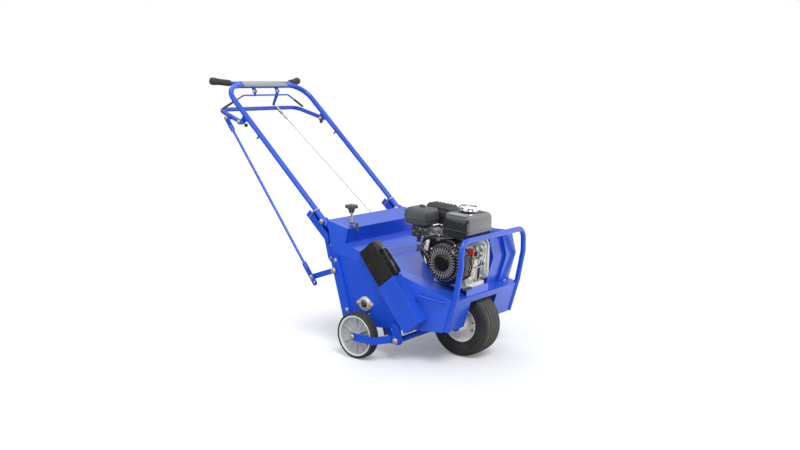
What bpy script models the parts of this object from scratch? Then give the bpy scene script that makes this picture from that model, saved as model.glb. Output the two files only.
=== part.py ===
"""Walk-behind lawn aerator with a tine reel, an engine, a lift handle and transport wheels.

Metres, +Z up. The operator stands at +Y and the engine is at -Y.
Places are written in machine coordinates: x from the middle plane, y from the
transport wheels' axle, z from the ground. One empty moves them all, so that the
origin lies under the middle of the whole machine.
"""

import math

import bmesh
import bpy
from mathutils import Matrix, Vector

# Clearances
GAP = 0.0003  # between pieces that touch
RUN = 0.0005  # between a shaft and its hole
THIN_R = 0.0062  # a pin thinner than this has 8 sides instead of 12
WHEEL_STEPS = 18
BEND_STEP = math.radians(23)  # turn of a bent tube from one point of its line to the next

# Body
SHEET = 0.004
HOUSING_HALF = 0.280  # outer face of the side plates beside the tines
NOSE_STEP = 0.030  # the nose beside the front wheel is narrower by this on each side
NOSE_HALF = HOUSING_HALF - NOSE_STEP
DECK_FRONT_Y = -0.435
DECK_FRONT_Z = 0.298
DECK_SLOPE = math.radians(14.7)
DECK_REAR_Y = 0.156
NOSE_LEAN = math.radians(16.7)
NOSE_DROP = 0.138  # height of the front panel
HULL_BOTTOM_Z = 0.160  # lower edge of the nose at the front

# Weight bins
BIN_TOP = (0.032, 0.451)  # y, z of the bin's rear upper corner, where the weight starts
BIN_ANGLE = math.radians(50.9)  # steepness of the bin, down towards the front
BIN_WIDTH = 0.105
BIN_DEPTH = 0.060
BIN_WALL = 0.003
BIN_START = 0.179  # along the bin from the top of the weight
BIN_END = 0.406
WEIGHT_GAP = 0.0015
STRAP_START = 0.046  # of a side weight's carrying strap, from the weight's top end
STRAP_HALF = 0.016
STRAP_RISE = 0.024
STRAP_THICK = 0.009
STRAP_CORNER = 0.006

# Wheels
REAR_TYRE_R = 0.1015
REAR_TYRE_W = 0.044
REAR_RIM_R = 0.0885
REAR_WHEEL_OUT = 0.068  # middle of the tyre, outside the side plate
REAR_WHEEL_X = HOUSING_HALF + REAR_WHEEL_OUT
REAR_STUB_R = 0.0065
FRONT_WHEEL_Y = -0.329
FRONT_TYRE_R = 0.145
FRONT_TYRE_W = 0.124
FRONT_RIM_R = 0.079
FRONT_AXLE_R = 0.0095

# Transport frame and lift linkage, as y, z
PIVOT_YZ = (-0.180, 0.098)
PIVOT_SHAFT_R = 0.009
ARM_HIGH = 0.032
ARM_THICK = 0.008
ARM_GAP = 0.0012  # between the arm and its lug
ARM_BOSS = 0.0004  # how far the round end of the arm stands proud of its flat
WHEEL_SIDE_GAP = 0.003
LUG_X0 = HOUSING_HALF + 0.008
LUG_X1 = LUG_X0 + 0.010
LEVER_YZ = (0.180, 0.355)
LEVER_PIN_YZ = (0.309, 0.309)
LEVER_SHAFT_R = 0.008
LINK_TOP_YZ = (0.145, 0.400)
LINK_LOW_YZ = (-0.122, 0.078)
LINK_KNEE_YZ = (-0.045, 0.262)
LINK_X = HOUSING_HALF - 0.018
LINK_PIN_R = 0.005
LINK_PLAY = 0.003  # round the pin at the lower end of the drop link
LIFT_TUBE_R = 0.0105
EAR_GAP = 0.0035  # between the handle's ear and the lift tube, which leans inwards
ROD_R = 0.0065
BAR_FLAT = 0.006  # thickness of the flat bars of the linkage
BAR_WIDE = 0.025
ROD_PIN_R = 0.004  # at the upper end of the lift rod
# How far the lever's pin strays in the rod's lower hole as the handle rises: along the rod and across it
ROD_SLOT = (0.00285, -0.0032)
ROD_SLOT_PLAY = 0.0007

# Handle
TUBE_R = 0.0127
HANDLE_HALF = HOUSING_HALF - 0.008  # middle of the tube, over the side plate
HANDLE_PIVOT_YZ = (0.262, 0.568)
HANDLE_ANGLE = math.radians(42.5)
HANDLE_LENGTH = 0.889  # fold bolt to top bar
HANDLE_TAIL = 0.028
HANDLE_BEND_R = 0.10
MOUNT_WALL = 0.003
MOUNT_SIDE_GAP = 0.0005
MOUNT_NEAR = 0.016  # from the tube's axis to the open edge of the channel
MOUNT_FAR = 0.050  # and to its back
MOUNT_UP = 0.085
MOUNT_DOWN = 0.088
GRIP_BAR_R = 0.011
GRIP_BEND_X = HANDLE_HALF - 0.086  # where the grip bar starts to sweep back
GRIP_OUTER = HANDLE_HALF + 0.034
GRIP_WELD = (0.0189, 0.0101)  # y, z from the top bar to the grip bar behind it
GRIP_SWEEP = 0.040
GRIP_RISE = 0.013
GRIP_R = 0.0155
GRIP_END_R = 0.0185

# Places on the handle: back from the top bar along the tubes, and below them
LIFT_PIVOT_AT = (0.2130, 0.0349)
LIFT_PIN_AT = (0.1432, 0.0757)
LIFT_BAR_AT = (0.0496, 0.1127)
BAIL_AT = (0.0285, 0.0127)
BAIL_ARM_END_AT = (0.0523, 0.0831)
BAIL_END_AT = (0.0728, 0.0833)
LIFT_PIVOT_X = HANDLE_HALF + 0.019
LIFT_BAR_HALF = HANDLE_HALF - 0.004
ROD_X = LIFT_PIVOT_X + LIFT_TUBE_R + BAR_FLAT / 2 + 0.004

# Clutch bail
BAIL_ROD_R = 0.004
BAIL_DROP = 0.019
BAIL_HALF = 0.155
BAIL_END_X = HANDLE_HALF + 0.008
BAIL_SLEEVE_R = 0.0055
BAIL_BRACKET_X = 0.077
BAIL_PIN_R = 0.0035

# Clutch spring and cable
CABLE_LOW_X = 0.060
WIRE_R = 0.0012
SPRING_WIRE_R = 0.0011
SPRING_R = 0.0055
SPRING_CURLS = 11
SPRING_LENGTH = 0.062
EYE_R = 0.0066
HOOK_PIN_R = 0.002
HOOK_GAP = 0.0006  # between the spring's hook and the pin that pulls it
ADJUSTER_R = 0.0045
ADJUSTER_LENGTH = 0.034
CONDUIT_R = 0.0032
CONDUIT_HOLE_R = CONDUIT_R + 0.0008
CONDUIT_START = 0.0018  # below the fold axis, so that the wire's end turns past it

# Tine reel
REEL_YZ = (0.012, 0.226)
REEL_SHAFT_R = 0.0125
REEL_TIP_R = 0.160
REEL_DISC_R = 0.075
REEL_DISC = 0.006
TINE_WHEELS = 5
TINES = 6
TINE_R = 0.009

# Drive
BELT_X = 0.074
CRANK_PULLEY_R = 0.038
SHAFT_YZ = (-0.150, 0.326)
SHAFT_R = 0.010
SHAFT_PULLEY_R = 0.075
PULLEY_WIDE = 0.018
BELT_WIDE = 0.010
BELT_THICK = 0.007
CHAIN_X = HOUSING_HALF - 0.048
REEL_HALF = CHAIN_X - 0.032  # to the middle of the last tine wheel
SMALL_SPROCKET_R = 0.024
BIG_SPROCKET_R = 0.072
SPROCKET_WIDE = 0.006
SPROCKET_HUB = 0.012  # half length of the big sprocket's hub
HANGER_X = BELT_X - 0.021  # bearing plate beside the belt
CONDUIT_X = BELT_X + 0.034
IDLER_PIVOT_YZ = (-0.165, 0.478)
IDLER_R = 0.022
IDLER_LIFT = 0.0095  # between the idler and the slack belt

# Engine, in its own frame: crankshaft at the origin, y to the rear, z up
CRANK_YZ = (-0.348, 0.444)
ENGINE_TILT = math.radians(4.5)
FEET_DROP = 0.106
RECOIL_X = -0.219
RECOIL_R = 0.080
PTO_X = 0.030

# Guards
GUARD_R = 0.012
GUARD_HALF = NOSE_HALF - 0.004
GUARD_TOP_Z = 0.546
GUARD_TOP_Y = -0.465
BELT_GUARD_X0 = BELT_X - 0.012
BELT_GUARD_X1 = BELT_X + 0.076
BELT_GUARD_X2 = NOSE_HALF - 0.018
BELT_GUARD_STEP = 0.012  # the narrow box is this much lower and shorter
BELT_GUARD_WALL = 0.002
BELT_GUARD_TOP_Z = 0.532
BELT_GUARD_FRONT_Z = 0.434
BELT_GUARD_REAR_Z = 0.470

# Opening of the front panel round the front wheel
ARCH_X0 = -0.120
ARCH_X1 = 0.085
ARCH_DROP = 0.0271

for old in list(bpy.data.objects):
    bpy.data.objects.remove(old)

PARTS = bpy.data.collections.new("lawn_aerator")
CUTTERS = bpy.data.collections.new("cutters")
bpy.context.scene.collection.children.link(PARTS)
bpy.context.scene.collection.children.link(CUTTERS)

FRAME = bpy.data.objects.new("machine_frame", None)
PARTS.objects.link(FRAME)

ENGINE = bpy.data.objects.new("engine_frame", None)
ENGINE.location = (0, *CRANK_YZ)
ENGINE.rotation_euler = (ENGINE_TILT, 0, 0)
ENGINE.parent = FRAME
PARTS.objects.link(ENGINE)


def material(name, colour, roughness, metallic=0.0):
    made = bpy.data.materials.new(name)
    made.use_nodes = True
    shader = made.node_tree.nodes["Principled BSDF"]
    shader.inputs["Base Color"].default_value = (*colour, 1)
    shader.inputs["Roughness"].default_value = roughness
    shader.inputs["Metallic"].default_value = metallic
    return made


BLUE = material("blue_paint", (0.012, 0.10, 0.72), 0.3)
BLACK = material("black_paint", (0.012, 0.012, 0.012), 0.3)
PLASTIC = material("black_plastic", (0.02, 0.02, 0.022), 0.55)
RUBBER = material("rubber", (0.025, 0.025, 0.026), 0.8)
ZINC = material("zinc", (0.62, 0.58, 0.48), 0.35, 1.0)
CAST = material("cast_aluminium", (0.45, 0.45, 0.44), 0.5, 0.9)
CHROME = material("chrome", (0.75, 0.75, 0.76), 0.15, 1.0)
GREY = material("grey_plastic", (0.33, 0.34, 0.35), 0.5)
RIM = material("light_grey_paint", (0.55, 0.54, 0.50), 0.45)
RED = material("red_plastic", (0.6, 0.02, 0.02), 0.4)
STEEL = material("steel", (0.42, 0.42, 0.42), 0.4, 1.0)


def place(obj, mat, parent=None):
    obj.data.materials.clear()
    obj.data.materials.append(mat)
    PARTS.objects.link(obj)
    obj.parent = parent or FRAME
    return obj


def mesh_object(name, bm, mat, parent=None, smooth=False):
    mesh = bpy.data.meshes.new(name)
    bm.normal_update()
    bm.to_mesh(mesh)
    bm.free()
    obj = place(bpy.data.objects.new(name, mesh), mat, parent)
    if smooth:
        mesh.shade_smooth()
        mesh.set_sharp_from_angle(angle=math.radians(35))
    return obj


def box(name, low, high, mat=BLUE, parent=None, bevel=0.0):
    """A box from its lowest to its highest corner."""
    bm = bmesh.new()
    bmesh.ops.create_cube(bm, size=1)
    low, high = Vector(low), Vector(high)
    for vert in bm.verts:
        vert.co = Vector((low[i] + (vert.co[i] + 0.5) * (high[i] - low[i]) for i in range(3)))
    obj = mesh_object(name, bm, mat, parent)
    if bevel:
        soften(obj, bevel)
    return obj


def soften(obj, width, segments=2):
    edge = obj.modifiers.new("rounded_edges", "BEVEL")
    edge.width = width
    edge.segments = segments
    edge.limit_method = "ANGLE"
    edge.angle_limit = math.radians(40)
    return obj


def cylinder(name, start, end, radius, mat=ZINC, parent=None, sides=None, end_radius=None):
    """A cylinder, or a cone, between two points. A thin pin has fewer sides."""
    sides = sides or (8 if radius < THIN_R else 12)
    start, end = Vector(start), Vector(end)
    bm = bmesh.new()
    bmesh.ops.create_cone(
        bm,
        cap_ends=True,
        segments=sides,
        radius1=radius,
        radius2=radius if end_radius is None else end_radius,
        depth=(end - start).length,
    )
    turn = (end - start).to_track_quat("Z", "Y").to_matrix().to_4x4()
    bmesh.ops.transform(bm, matrix=Matrix.Translation((start + end) / 2) @ turn, verts=bm.verts)
    return mesh_object(name, bm, mat, parent, smooth=True)


def rod_x(name, x0, x1, yz, radius, mat=ZINC, parent=None, sides=None):
    return cylinder(name, (x0, *yz), (x1, *yz), radius, mat, parent, sides)


def flat(name, outline, x0, x1, mat=BLUE, parent=None, holes=()):
    """A flat outline of y, z points made thick from x0 to x1."""
    curve = bpy.data.curves.new(name, "CURVE")
    curve.dimensions = "2D"
    curve.fill_mode = "BOTH"
    curve.extrude = abs(x1 - x0) / 2
    for points in (outline, *holes):
        spline = curve.splines.new("POLY")
        spline.points.add(len(points) - 1)
        for point, (y, z) in zip(spline.points, points):
            point.co = (y, z, 0, 1)
        spline.use_cyclic_u = True
    obj = place(bpy.data.objects.new(name, curve), mat, parent)
    obj.location = ((x0 + x1) / 2, 0, 0)
    obj.rotation_euler = (math.pi / 2, 0, math.pi / 2)
    return obj


def rounded_path(points, radius):
    """Points of a tube's centre line, with each corner turned at a bend radius."""
    points = [Vector(p) for p in points]
    path = [points[0]]
    for before, corner, after in zip(points, points[1:], points[2:]):
        u = (before - corner).normalized()
        v = (after - corner).normalized()
        half = u.angle(v) / 2
        reach = min(radius / math.tan(half), 0.49 * min((before - corner).length, (after - corner).length))
        centre = corner + (u + v).normalized() * reach / math.cos(half)
        start, end = corner + u * reach - centre, corner + v * reach - centre
        turn = start.angle(end)
        steps = math.ceil(turn / BEND_STEP)
        for k in range(steps + 1):
            t = k / steps
            mix = start * math.sin((1 - t) * turn) + end * math.sin(t * turn)
            path.append(centre + mix / math.sin(turn))
    path.append(points[-1])
    return path


def tube(name, path, radius, mat=BLUE, parent=None, detail=2, radii=None):
    """A round tube or wire along a path. Detail 1 has 6 sides, 2 has 8 and 3 has 10."""
    curve = bpy.data.curves.new(name, "CURVE")
    curve.dimensions = "3D"
    curve.bevel_depth = radius
    curve.bevel_resolution = detail
    curve.use_fill_caps = True
    spline = curve.splines.new("POLY")
    spline.points.add(len(path) - 1)
    for k, point in enumerate(path):
        spline.points[k].co = (*point, 1)
        spline.points[k].radius = radii[k] if radii else 1
    return place(bpy.data.objects.new(name, curve), mat, parent)


def turned(name, profile, x, yz, mat, parent=None, steps=32, closed=True):
    """A shape turned about the X axis. The profile is (radius, x) points, running
    from +x to -x on the outer side; a closed profile makes a ring."""
    bm = bmesh.new()
    verts = [bm.verts.new((r, 0, along)) for r, along in profile]
    for a, b in zip(verts, verts[1:]):
        bm.edges.new((a, b))
    if closed:
        bm.edges.new((verts[-1], verts[0]))
    mesh = bpy.data.meshes.new(name)
    bm.to_mesh(mesh)
    bm.free()
    obj = place(bpy.data.objects.new(name, mesh), mat, parent)
    obj.rotation_euler = (0, math.pi / 2, 0)
    obj.location = (x, *yz)
    screw = obj.modifiers.new("turn", "SCREW")
    screw.steps = screw.render_steps = steps
    screw.use_merge_vertices = True
    screw.merge_threshold = 0.0001
    screw.use_smooth_shade = True
    return obj


def ring_profile(inner, outer, half_width):
    return [(outer, half_width), (outer, -half_width), (inner, -half_width), (inner, half_width)]


def as_mesh(obj):
    """The object as its modifiers leave it, with the loose caps of a curve welded."""
    bpy.context.view_layer.update()
    graph = bpy.context.evaluated_depsgraph_get()
    mesh = bpy.data.meshes.new_from_object(obj.evaluated_get(graph))
    bm = bmesh.new()
    bm.from_mesh(mesh)
    bmesh.ops.remove_doubles(bm, verts=bm.verts, dist=0.000002)
    bmesh.ops.recalc_face_normals(bm, faces=bm.faces)
    bm.to_mesh(mesh)
    bm.free()
    made = bpy.data.objects.new(obj.name + "_solid", mesh)
    made.parent = obj.parent
    made.location = obj.location
    made.rotation_euler = obj.rotation_euler
    mats = list(obj.data.materials)
    name = obj.name
    bpy.data.objects.remove(obj)
    made.name = name
    made.data.materials.clear()
    for mat in mats:
        made.data.materials.append(mat)
    PARTS.objects.link(made)
    return made


def helper(obj):
    """Moves a solid to the cutters, out of the model."""
    obj = as_mesh(obj)
    PARTS.objects.unlink(obj)
    CUTTERS.objects.link(obj)
    obj.hide_render = True
    obj.display_type = "WIRE"
    return obj


def combine(base, others, operation):
    base = as_mesh(base)
    for other in others:
        other = helper(other)
        step = base.modifiers.new(other.name, "BOOLEAN")
        step.operation = operation
        step.solver = "EXACT"
        step.object = other
    done = as_mesh(base)
    done.data.shade_smooth()
    done.data.set_sharp_from_angle(angle=math.radians(35))
    return done


def fuse(base, *others):
    return combine(base, others, "UNION")


def cut(base, *others):
    return combine(base, others, "DIFFERENCE")


def pivot(obj, point):
    """Moves an object's origin to a point of its parent's frame, shape unmoved."""
    point = Vector(point)
    turn = obj.rotation_euler.to_matrix().to_4x4()
    local = (Matrix.Translation(obj.location) @ turn).inverted() @ point
    obj.data.transform(Matrix.Translation(-local))
    obj.location = point
    return obj


def both_sides(build):
    """Builds a piece for the operator's right, at -X, and for the left."""
    return [build("right", -1), build("left", 1)]


def span(side, near, far):
    """x from and to for a plate between two distances from the middle plane."""
    return (min(side * near, side * far), max(side * near, side * far))


def deck_z(y):
    return DECK_FRONT_Z + math.tan(DECK_SLOPE) * (y - DECK_FRONT_Y)


def along_bin(s, v=0.0):
    """y, z at a distance s down the bin and v across it, towards the front."""
    u = (-math.cos(BIN_ANGLE), -math.sin(BIN_ANGLE))
    w = (-math.sin(BIN_ANGLE), math.cos(BIN_ANGLE))
    return (BIN_TOP[0] + s * u[0] + v * w[0], BIN_TOP[1] + s * u[1] + v * w[1])


def tube_point(along, off=0.0):
    """y, z beside the handle tube: a distance up it from the fold bolt, and below it."""
    c, s = math.cos(HANDLE_ANGLE), math.sin(HANDLE_ANGLE)
    return (HANDLE_PIVOT_YZ[0] + along * c + off * s, HANDLE_PIVOT_YZ[1] + along * s - off * c)


def below_top_bar(back, below):
    return tube_point(HANDLE_LENGTH - back, below)


LIFT_PIVOT_YZ = below_top_bar(*LIFT_PIVOT_AT)
LIFT_PIN_YZ = below_top_bar(*LIFT_PIN_AT)
LIFT_BAR_YZ = below_top_bar(*LIFT_BAR_AT)
BAIL_YZ = below_top_bar(*BAIL_AT)
BAIL_ARM_END_YZ = below_top_bar(*BAIL_ARM_END_AT)
BAIL_END_YZ = below_top_bar(*BAIL_END_AT)


def nose_point(drop, out=0.0):
    """y, z on the front panel's face, a distance down it, and out in front of it."""
    return (
        DECK_FRONT_Y + drop * math.sin(NOSE_LEAN) - out * math.cos(NOSE_LEAN),
        DECK_FRONT_Z - drop * math.cos(NOSE_LEAN) - out * math.sin(NOSE_LEAN),
    )


def flat_z(name, outline, z0, z1, mat=BLUE, parent=None, holes=()):
    """A flat outline of x, y points made thick from z0 to z1."""
    obj = flat(name, outline, z0, z1, mat, parent, holes)
    obj.location = (0, 0, (z0 + z1) / 2)
    obj.rotation_euler = (0, 0, 0)
    return obj


def hull(*circles, sides=12):
    """The outline of a belt drawn tight round circles, each a y, z and radius."""
    points = sorted(
        (y + r * math.cos(2 * math.pi * k / sides), z + r * math.sin(2 * math.pi * k / sides))
        for y, z, r in circles
        for k in range(sides)
    )

    def chain(ordered):
        kept = []
        for p in ordered:
            while len(kept) > 1:
                a, b = kept[-2:]
                if (b[0] - a[0]) * (p[1] - a[1]) - (b[1] - a[1]) * (p[0] - a[0]) > 1e-9:
                    break
                kept.pop()
            kept.append(p)
        return kept[:-1]

    return chain(points) + chain(points[::-1])


def bar(start, end, width):
    """The outline of a flat bar with round ends between two y, z points."""
    return hull((*start, width / 2), (*end, width / 2))


def inset(outline, distance):
    """The outline of a wall's inner face; the points run counter-clockwise."""
    moved = []
    for k, point in enumerate(outline):
        here = Vector(point)
        into = (here - Vector(outline[k - 1])).normalized()
        away = (Vector(outline[(k + 1) % len(outline)]) - here).normalized()
        n1, n2 = Vector((-into.y, into.x)), Vector((-away.y, away.x))
        moved.append(tuple(here + (n1 + n2) * distance / (1 + n1.dot(n2))))
    return moved


def line_at(a, b, z):
    """The point at a height z on the line from a to b."""
    t = (z - a[1]) / (b[1] - a[1])
    return (a[0] + t * (b[0] - a[0]), z)


def strip(points, width):
    """The outline of a bent strip of even width along a line of points."""
    line = [Vector(p) for p in points]
    sides = ([], [])
    for k, point in enumerate(line):
        into = (point - line[k - 1]).normalized() if k else None
        away = (line[k + 1] - point).normalized() if k + 1 < len(line) else None
        into, away = into or away, away or into
        n1, n2 = Vector((-into.y, into.x)), Vector((-away.y, away.x))
        step = (n1 + n2) * (width / 2) / (1 + n1.dot(n2))
        sides[0].append(tuple(point + step))
        sides[1].append(tuple(point - step))
    return sides[0] + sides[1][::-1]


def deck_cross_y():
    """y where the bin's rear line meets the deck."""
    drop = BIN_TOP[1] - deck_z(BIN_TOP[0])
    s = drop / (math.sin(BIN_ANGLE) - math.cos(BIN_ANGLE) * math.tan(DECK_SLOPE))
    return BIN_TOP[0] - s * math.cos(BIN_ANGLE)


# Body

NOSE_LENGTH = NOSE_DROP / math.cos(NOSE_LEAN)
DECK_STEP_Y = deck_cross_y()
DECK_REAR_HALF = HOUSING_HALF - SHEET - GAP
HULL_END = along_bin(BIN_END - 0.012)
BASE_DIRECTION = (math.cos(ENGINE_TILT), math.sin(ENGINE_TILT))


def engine_point(y, z):
    """Machine y, z of a point of the engine's own frame."""
    c, s = BASE_DIRECTION
    return (CRANK_YZ[0] + y * c - z * s, CRANK_YZ[1] + y * s + z * c)


def base_z(y):
    """Height of the plane that the engine's feet stand on."""
    foot = engine_point(0, -FEET_DROP)
    return foot[1] - GAP + (y - foot[0]) * math.tan(ENGINE_TILT)


def deck_strip(front, rear, top=0.0, thick=SHEET):
    return [
        (front, deck_z(front) + top),
        (rear, deck_z(rear) + top),
        (rear, deck_z(rear) + top - thick),
        (front, deck_z(front) + top - thick),
    ]


def engine_bed():
    """The raised bed that levels the engine on the sloping deck, open at both ends."""
    front = DECK_FRONT_Y + 0.004
    rear = -0.262
    lip = front + SHEET
    return flat(
        "engine_bed",
        [
            (front, deck_z(front) - SHEET / 2),
            (front, base_z(front)),
            (rear, base_z(rear)),
            (rear - 0.014, base_z(rear - 0.014) - SHEET),
            (lip, base_z(lip) - SHEET),
            (lip, deck_z(lip) - SHEET / 2),
        ],
        -0.150,
        0.014,
    )


def tie_loop(side):
    out = side * (NOSE_HALF + 0.016)
    skin = side * (NOSE_HALF - 0.002)
    path = [
        (skin, -0.251, 0.301),
        (out, -0.262, 0.300),
        (out, -0.384, 0.290),
        (skin, -0.395, 0.289),
    ]
    return tube("tie_loop", rounded_path(path, 0.012), 0.005, detail=1)


def deck_housing():
    nose_top = nose_point(0)
    nose_under = nose_point(SHEET * 1.06)
    deck = flat(
        "deck_housing",
        [
            nose_top,
            (DECK_STEP_Y + 0.002, deck_z(DECK_STEP_Y + 0.002)),
            (DECK_STEP_Y + 0.002, deck_z(DECK_STEP_Y + 0.002) - SHEET),
            nose_under,
        ],
        -NOSE_HALF,
        NOSE_HALF,
    )
    rear = flat("deck_rear", deck_strip(DECK_STEP_Y, DECK_REAR_Y), -DECK_REAR_HALF, DECK_REAR_HALF)
    pieces = [rear, engine_bed()]
    line_top = (DECK_STEP_Y - 0.001, deck_z(DECK_STEP_Y - 0.001) - SHEET / 2)
    for side in (-1, 1):
        flank = [
            (DECK_FRONT_Y + 0.001, deck_z(DECK_FRONT_Y + 0.001) - SHEET / 2),
            nose_point(NOSE_LENGTH),
            (-0.388, HULL_BOTTOM_Z - 0.002),
            (-0.249, 0.143),
            (HULL_END[0], HULL_END[1] + 0.002),
            line_top,
        ]
        pieces.append(flat("flank", flank, *span(side, NOSE_HALF - SHEET, NOSE_HALF)))
        web = [
            along_bin(0.056, -GAP),
            along_bin(BIN_END - 0.012, -GAP),
            along_bin(BIN_END - 0.012, -GAP - SHEET),
            along_bin(0.056, -GAP - SHEET),
        ]
        pieces.append(flat("web", web, *span(side, NOSE_HALF - SHEET, DECK_REAR_HALF)))
        pieces.append(tie_loop(side))
    # Bearing plate of the jackshaft and bracket of the idler
    y, z = SHAFT_YZ
    plate = hull(
        (y, z, 0.024),
        (y - 0.03, deck_z(y - 0.03) - 0.003, 0.0005),
        (y + 0.03, deck_z(y + 0.03) - 0.003, 0.0005),
    )
    pieces.append(flat("hanger", plate, HANGER_X - 0.003, HANGER_X + 0.003))
    y, z = IDLER_PIVOT_YZ
    post = hull(
        (y, z, 0.012),
        (y - 0.016, deck_z(y - 0.016) - 0.002, 0.0005),
        (y + 0.016, deck_z(y + 0.016) - 0.002, 0.0005),
    )
    pieces.append(flat("idler_post", post, BELT_X + 0.017, BELT_X + 0.021))
    pieces.append(rod_x("idler_stud", BELT_X + 0.009, BELT_X + 0.019, (y, z), 0.005, BLUE))
    deck = fuse(deck, *pieces)
    tools = []
    for side in (-1, 1):
        corner = [
            nose_point(-0.03, 0.02),
            nose_point(-0.03, -GUARD_R - GAP),
            nose_point(NOSE_LENGTH + 0.02, -GUARD_R - GAP),
            nose_point(NOSE_LENGTH + 0.02, 0.02),
        ]
        near = GUARD_HALF - GUARD_R - GAP
        tools.append(flat("corner", corner, *span(side, near, NOSE_HALF + 0.01)))
    slot = deck_strip(-0.296, SHAFT_YZ[0] + SHAFT_PULLEY_R + 0.012, 0.03, 0.07)
    tools.append(flat("belt_slot", slot, BELT_X - 0.0105, BELT_X + 0.0135))
    tools.append(rod_x("bearing", HANGER_X - 0.01, HANGER_X + 0.01, SHAFT_YZ, SHAFT_R + RUN))
    tools.append(rod_x("far_bearing", NOSE_HALF - SHEET - 0.01, NOSE_HALF + 0.01, SHAFT_YZ, SHAFT_R + RUN))
    return cut(deck, *tools)


def front_panel():
    half = GUARD_HALF - GUARD_R - GAP
    outline = [
        (-half, 0),
        (half, 0),
        (half, NOSE_LENGTH),
        (ARCH_X1, NOSE_LENGTH),
        (ARCH_X1, ARCH_DROP),
        (ARCH_X0, ARCH_DROP),
        (ARCH_X0, NOSE_LENGTH),
        (-half, NOSE_LENGTH),
    ]
    obj = flat_z("front_panel", [(x, -d) for x, d in outline], 0, SHEET)
    obj.rotation_euler = (math.pi / 2 + NOSE_LEAN, 0, 0)
    obj.location = (0, *nose_point(0, GAP + SHEET / 2))
    return obj


def side_plate(name, side):
    """Side of the tine chamber, with its frame angle and the lug of the wheel arm."""
    back = -GAP
    outline = [
        (0.209, 0.436),
        (DECK_REAR_Y, deck_z(DECK_REAR_Y)),
        along_bin(0.052, back),
        along_bin(BIN_END - 0.012, back),
        (-0.149, 0.142),
        (-0.063, 0.131),
        (0.127, 0.125),
    ]
    plate = flat("side_plate_" + name, outline, *span(side, HOUSING_HALF - SHEET, HOUSING_HALF))
    edge = [(0.209, 0.408), (0.1667, 0.4202), (0.0862, 0.142), (0.1285, 0.130)]
    angle = flat("angle", edge, *span(side, HOUSING_HALF - 0.001, HOUSING_HALF + 0.012))
    lug_top = hull(
        (-0.152, 0.158, 0.010), (-0.176, 0.158, 0.010), (-0.160, 0.138, 0.012), (-0.172, 0.134, 0.012),
    )
    block = flat("lug_block", lug_top, *span(side, HOUSING_HALF - 0.001, LUG_X1))
    lug = flat(
        "lug",
        hull((*PIVOT_YZ, 0.021), (-0.152, 0.158, 0.010), (-0.176, 0.158, 0.010)),
        *span(side, LUG_X0, LUG_X1),
    )
    near, far = HOUSING_HALF - 0.01, HOUSING_HALF + 0.03
    tools = [
        rod_x("reel_hole", side * near, side * far, REEL_YZ, REEL_SHAFT_R + 0.004),
        rod_x("lever_hole", side * near, side * far, LEVER_YZ, LEVER_SHAFT_R + RUN),
        rod_x("pivot_hole", side * near, side * far, PIVOT_YZ, PIVOT_SHAFT_R + RUN),
        flat("slot", hull((-0.010, 0.192, 0.006), (-0.004, 0.186, 0.006)), *span(side, near, far)),
    ]
    return cut(fuse(plate, angle, block, lug), *tools)


def weight_bin(name, side):
    near = NOSE_HALF + GAP
    far = NOSE_HALF + BIN_DEPTH
    outer = [
        along_bin(BIN_START),
        along_bin(BIN_END),
        along_bin(BIN_END, BIN_WIDTH),
        along_bin(BIN_START, BIN_WIDTH),
    ]
    low = BIN_END - BIN_WALL
    inner = [
        along_bin(BIN_START - 0.02, BIN_WALL),
        along_bin(low, BIN_WALL),
        along_bin(low, BIN_WIDTH - BIN_WALL),
        along_bin(BIN_START - 0.02, BIN_WIDTH - BIN_WALL),
    ]
    return cut(
        flat("weight_bin_" + name, outer, *span(side, near, far)),
        flat("pocket", inner, *span(side, near + BIN_WALL, far - BIN_WALL)),
    )


def side_weight(name, side):
    """Removable weight with its carrying strap, which slides up out of its bin."""
    near = NOSE_HALF + GAP + BIN_WALL + WEIGHT_GAP
    far = NOSE_HALF + BIN_DEPTH - BIN_WALL - WEIGHT_GAP
    v0, v1 = BIN_WALL + WEIGHT_GAP, BIN_WIDTH - BIN_WALL - WEIGHT_GAP
    low = BIN_END - BIN_WALL - GAP
    body = flat(
        "side_weight_" + name,
        [along_bin(0, v0), along_bin(low, v0), along_bin(low, v1), along_bin(0, v1)],
        *span(side, near, far),
        mat=BLACK,
    )
    middle = (near + far) / 2
    s0, s1 = STRAP_START, BIN_START - 0.004
    top = v1 + STRAP_RISE
    strap = [
        along_bin(s0, v1 - 0.004),
        along_bin(s0, top - STRAP_CORNER),
        along_bin(s0 + STRAP_CORNER, top),
        along_bin(s1 - STRAP_CORNER, top),
        along_bin(s1, top - STRAP_CORNER),
        along_bin(s1, v1 - 0.004),
    ]
    finger_room = [
        along_bin(s0 + STRAP_THICK, v1),
        along_bin(s1 - STRAP_THICK, v1),
        along_bin(s1 - STRAP_THICK, top - STRAP_THICK),
        along_bin(s0 + STRAP_THICK, top - STRAP_THICK),
    ]
    grip = flat("weight_grip", strap, *span(side, middle - STRAP_HALF, middle + STRAP_HALF), mat=BLACK)
    room = flat("finger_room", finger_room, *span(side, middle - 2 * STRAP_HALF, middle + 2 * STRAP_HALF))
    return fuse(body, cut(grip, room))


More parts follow.
